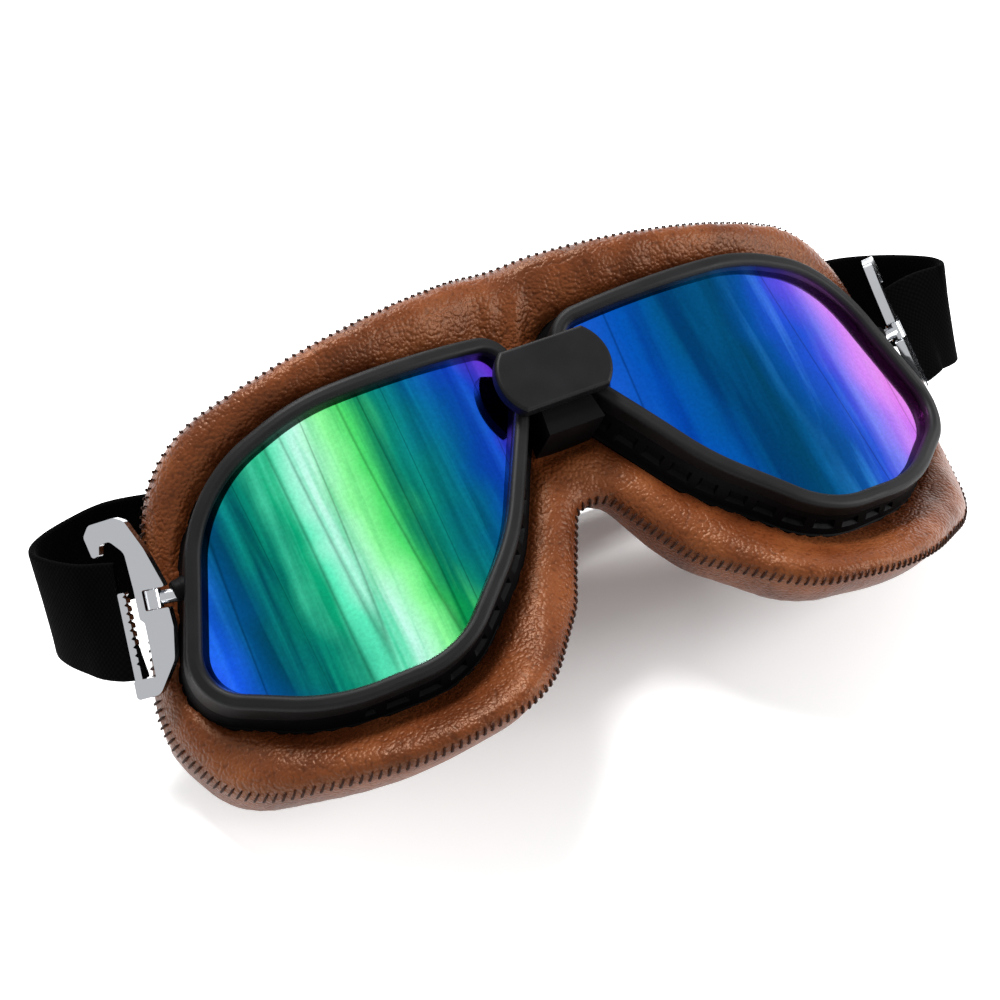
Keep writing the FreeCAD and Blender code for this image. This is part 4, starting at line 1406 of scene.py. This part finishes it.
# Left lens: blue at the nose, violet and then magenta towards the temple; brighter tints for its painted highlight
# streaks.
LEFT_COAT = MirrorCoatFinish(
    "mirror_coat_left", 5.0, 93.0,
    tints=((0.0, "#4A28C8"), (0.08, "#1240B8"), (0.20, "#053EAA"), (0.34, "#033C72"), (0.46, "#02446A"),
           (0.55, "#0450A0"), (0.63, "#1C50D8"), (0.69, "#5A4AE4"), (0.75, "#A858F4"), (0.83, "#E070F8"),
           (1.0, "#FF90D8")),
    flare=((0.0, "#6A3CE0"), (0.10, "#1A5CD0"), (0.22, "#0654B8"), (0.36, "#045684"), (0.48, "#07609A"),
           (0.56, "#3AA0F4"), (0.64, "#5A90FA"), (0.71, "#8C78F8"), (0.79, "#D888FC"), (1.0, "#FFA8E0")),
    painted_streak_mm=8.0)
# Width of the rounding on the hooks' stamped edges, in millimetres.
HOOK_ROUND = 0.15


def settle(piece: bpy.types.Object, material: bpy.types.Material, nodes: Sequence[str]) -> None:
    """Dresses a new piece, and hides the solids that it stands for.

    Args:
        piece: the piece, in place.
        material: its finish.
        nodes: names of the solids that it replaces.
    """
    dress(piece, material)
    if nodes:
        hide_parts(*nodes)


def build_soft(bench: Bench, shapes: Shapes, face: FaceCurve) -> None:
    """Builds the padded mask, its stitching and the strap.

    Args:
        bench: the bench frame.
        shapes: the outlines.
        face: the face's curve.
    """
    mask, stitches = MaskPad(bench, shapes, face).build()
    settle(mask, MASK_LEATHER.material(), ("mask_cover", "mask_foam", "mask_lining"))
    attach(mask, "goggles")
    settle(stitches, STITCH_THREAD.material(), ())
    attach(stitches, "goggles")
    strap, elastic = Strap(bench), STRAP_ELASTIC.material()
    for side in Side:
        run, length = strap.end(side)
        settle(run, elastic, (f"{side.word}_strap_end",))
        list(strap.bend(side))
        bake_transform(run)
        LOG.info("%s: %.1f mm long", run.name, length)
    band, length = strap.band()
    settle(band, elastic, ("strap_band",))
    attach(band, "goggles")


def dress_solids() -> None:
    """Gives the rigid solids their finishes and rounded edges."""
    frame_black, rubber = FRAME_ABS.material(), GASKET_RUBBER.material()
    steel, chrome = PIN_STEEL.material(), HOOK_CHROME.material()
    twins = {"rim": RIM_NYLON.material(), "eye_cup": frame_black, "clamp_ring": frame_black, "gasket": rubber,
             "hook_pin": steel, "hook_post": chrome, "strap_hook": chrome}
    singles = {"bridge_cap": CAP_ABS.material(), "bridge_block": frame_black, "bridge_rivets": steel,
               "strap_slider": frame_black}
    for side in Side:
        for word, material in twins.items():
            dress(frame["nodes"][f"{side.word}_{word}"], material)
        soften(frame["nodes"][f"{side.word}_strap_hook"], HOOK_ROUND)
    for word, material in singles.items():
        dress(frame["nodes"][word], material)


def main() -> None:
    """Builds every sub-assembly in order."""
    logging.basicConfig(level=logging.INFO)
    bench, shapes, face = Bench(), Shapes(), FaceCurve()
    Studio(bench).build()
    build_soft(bench, shapes, face)
    for side, coat in ((Side.LEFT, LEFT_COAT), (Side.RIGHT, RIGHT_COAT)):
        lens = LensSheet(bench, shapes, face).build(side)
        settle(lens, coat.material(), (f"{side.word}_lens",))
        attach(lens, "goggles")
        skirt = VentSkirt(bench, shapes, face).build(side)
        settle(skirt, FRAME_ABS.material(), ())
        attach(skirt, "goggles")
        boss = TempleBoss(bench).build(side)
        settle(boss, FRAME_ABS.material(), (f"{side.word}_temple_lug",))
        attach(boss, "goggles")
    dress_solids()


if __name__ == "__main__":
    main()
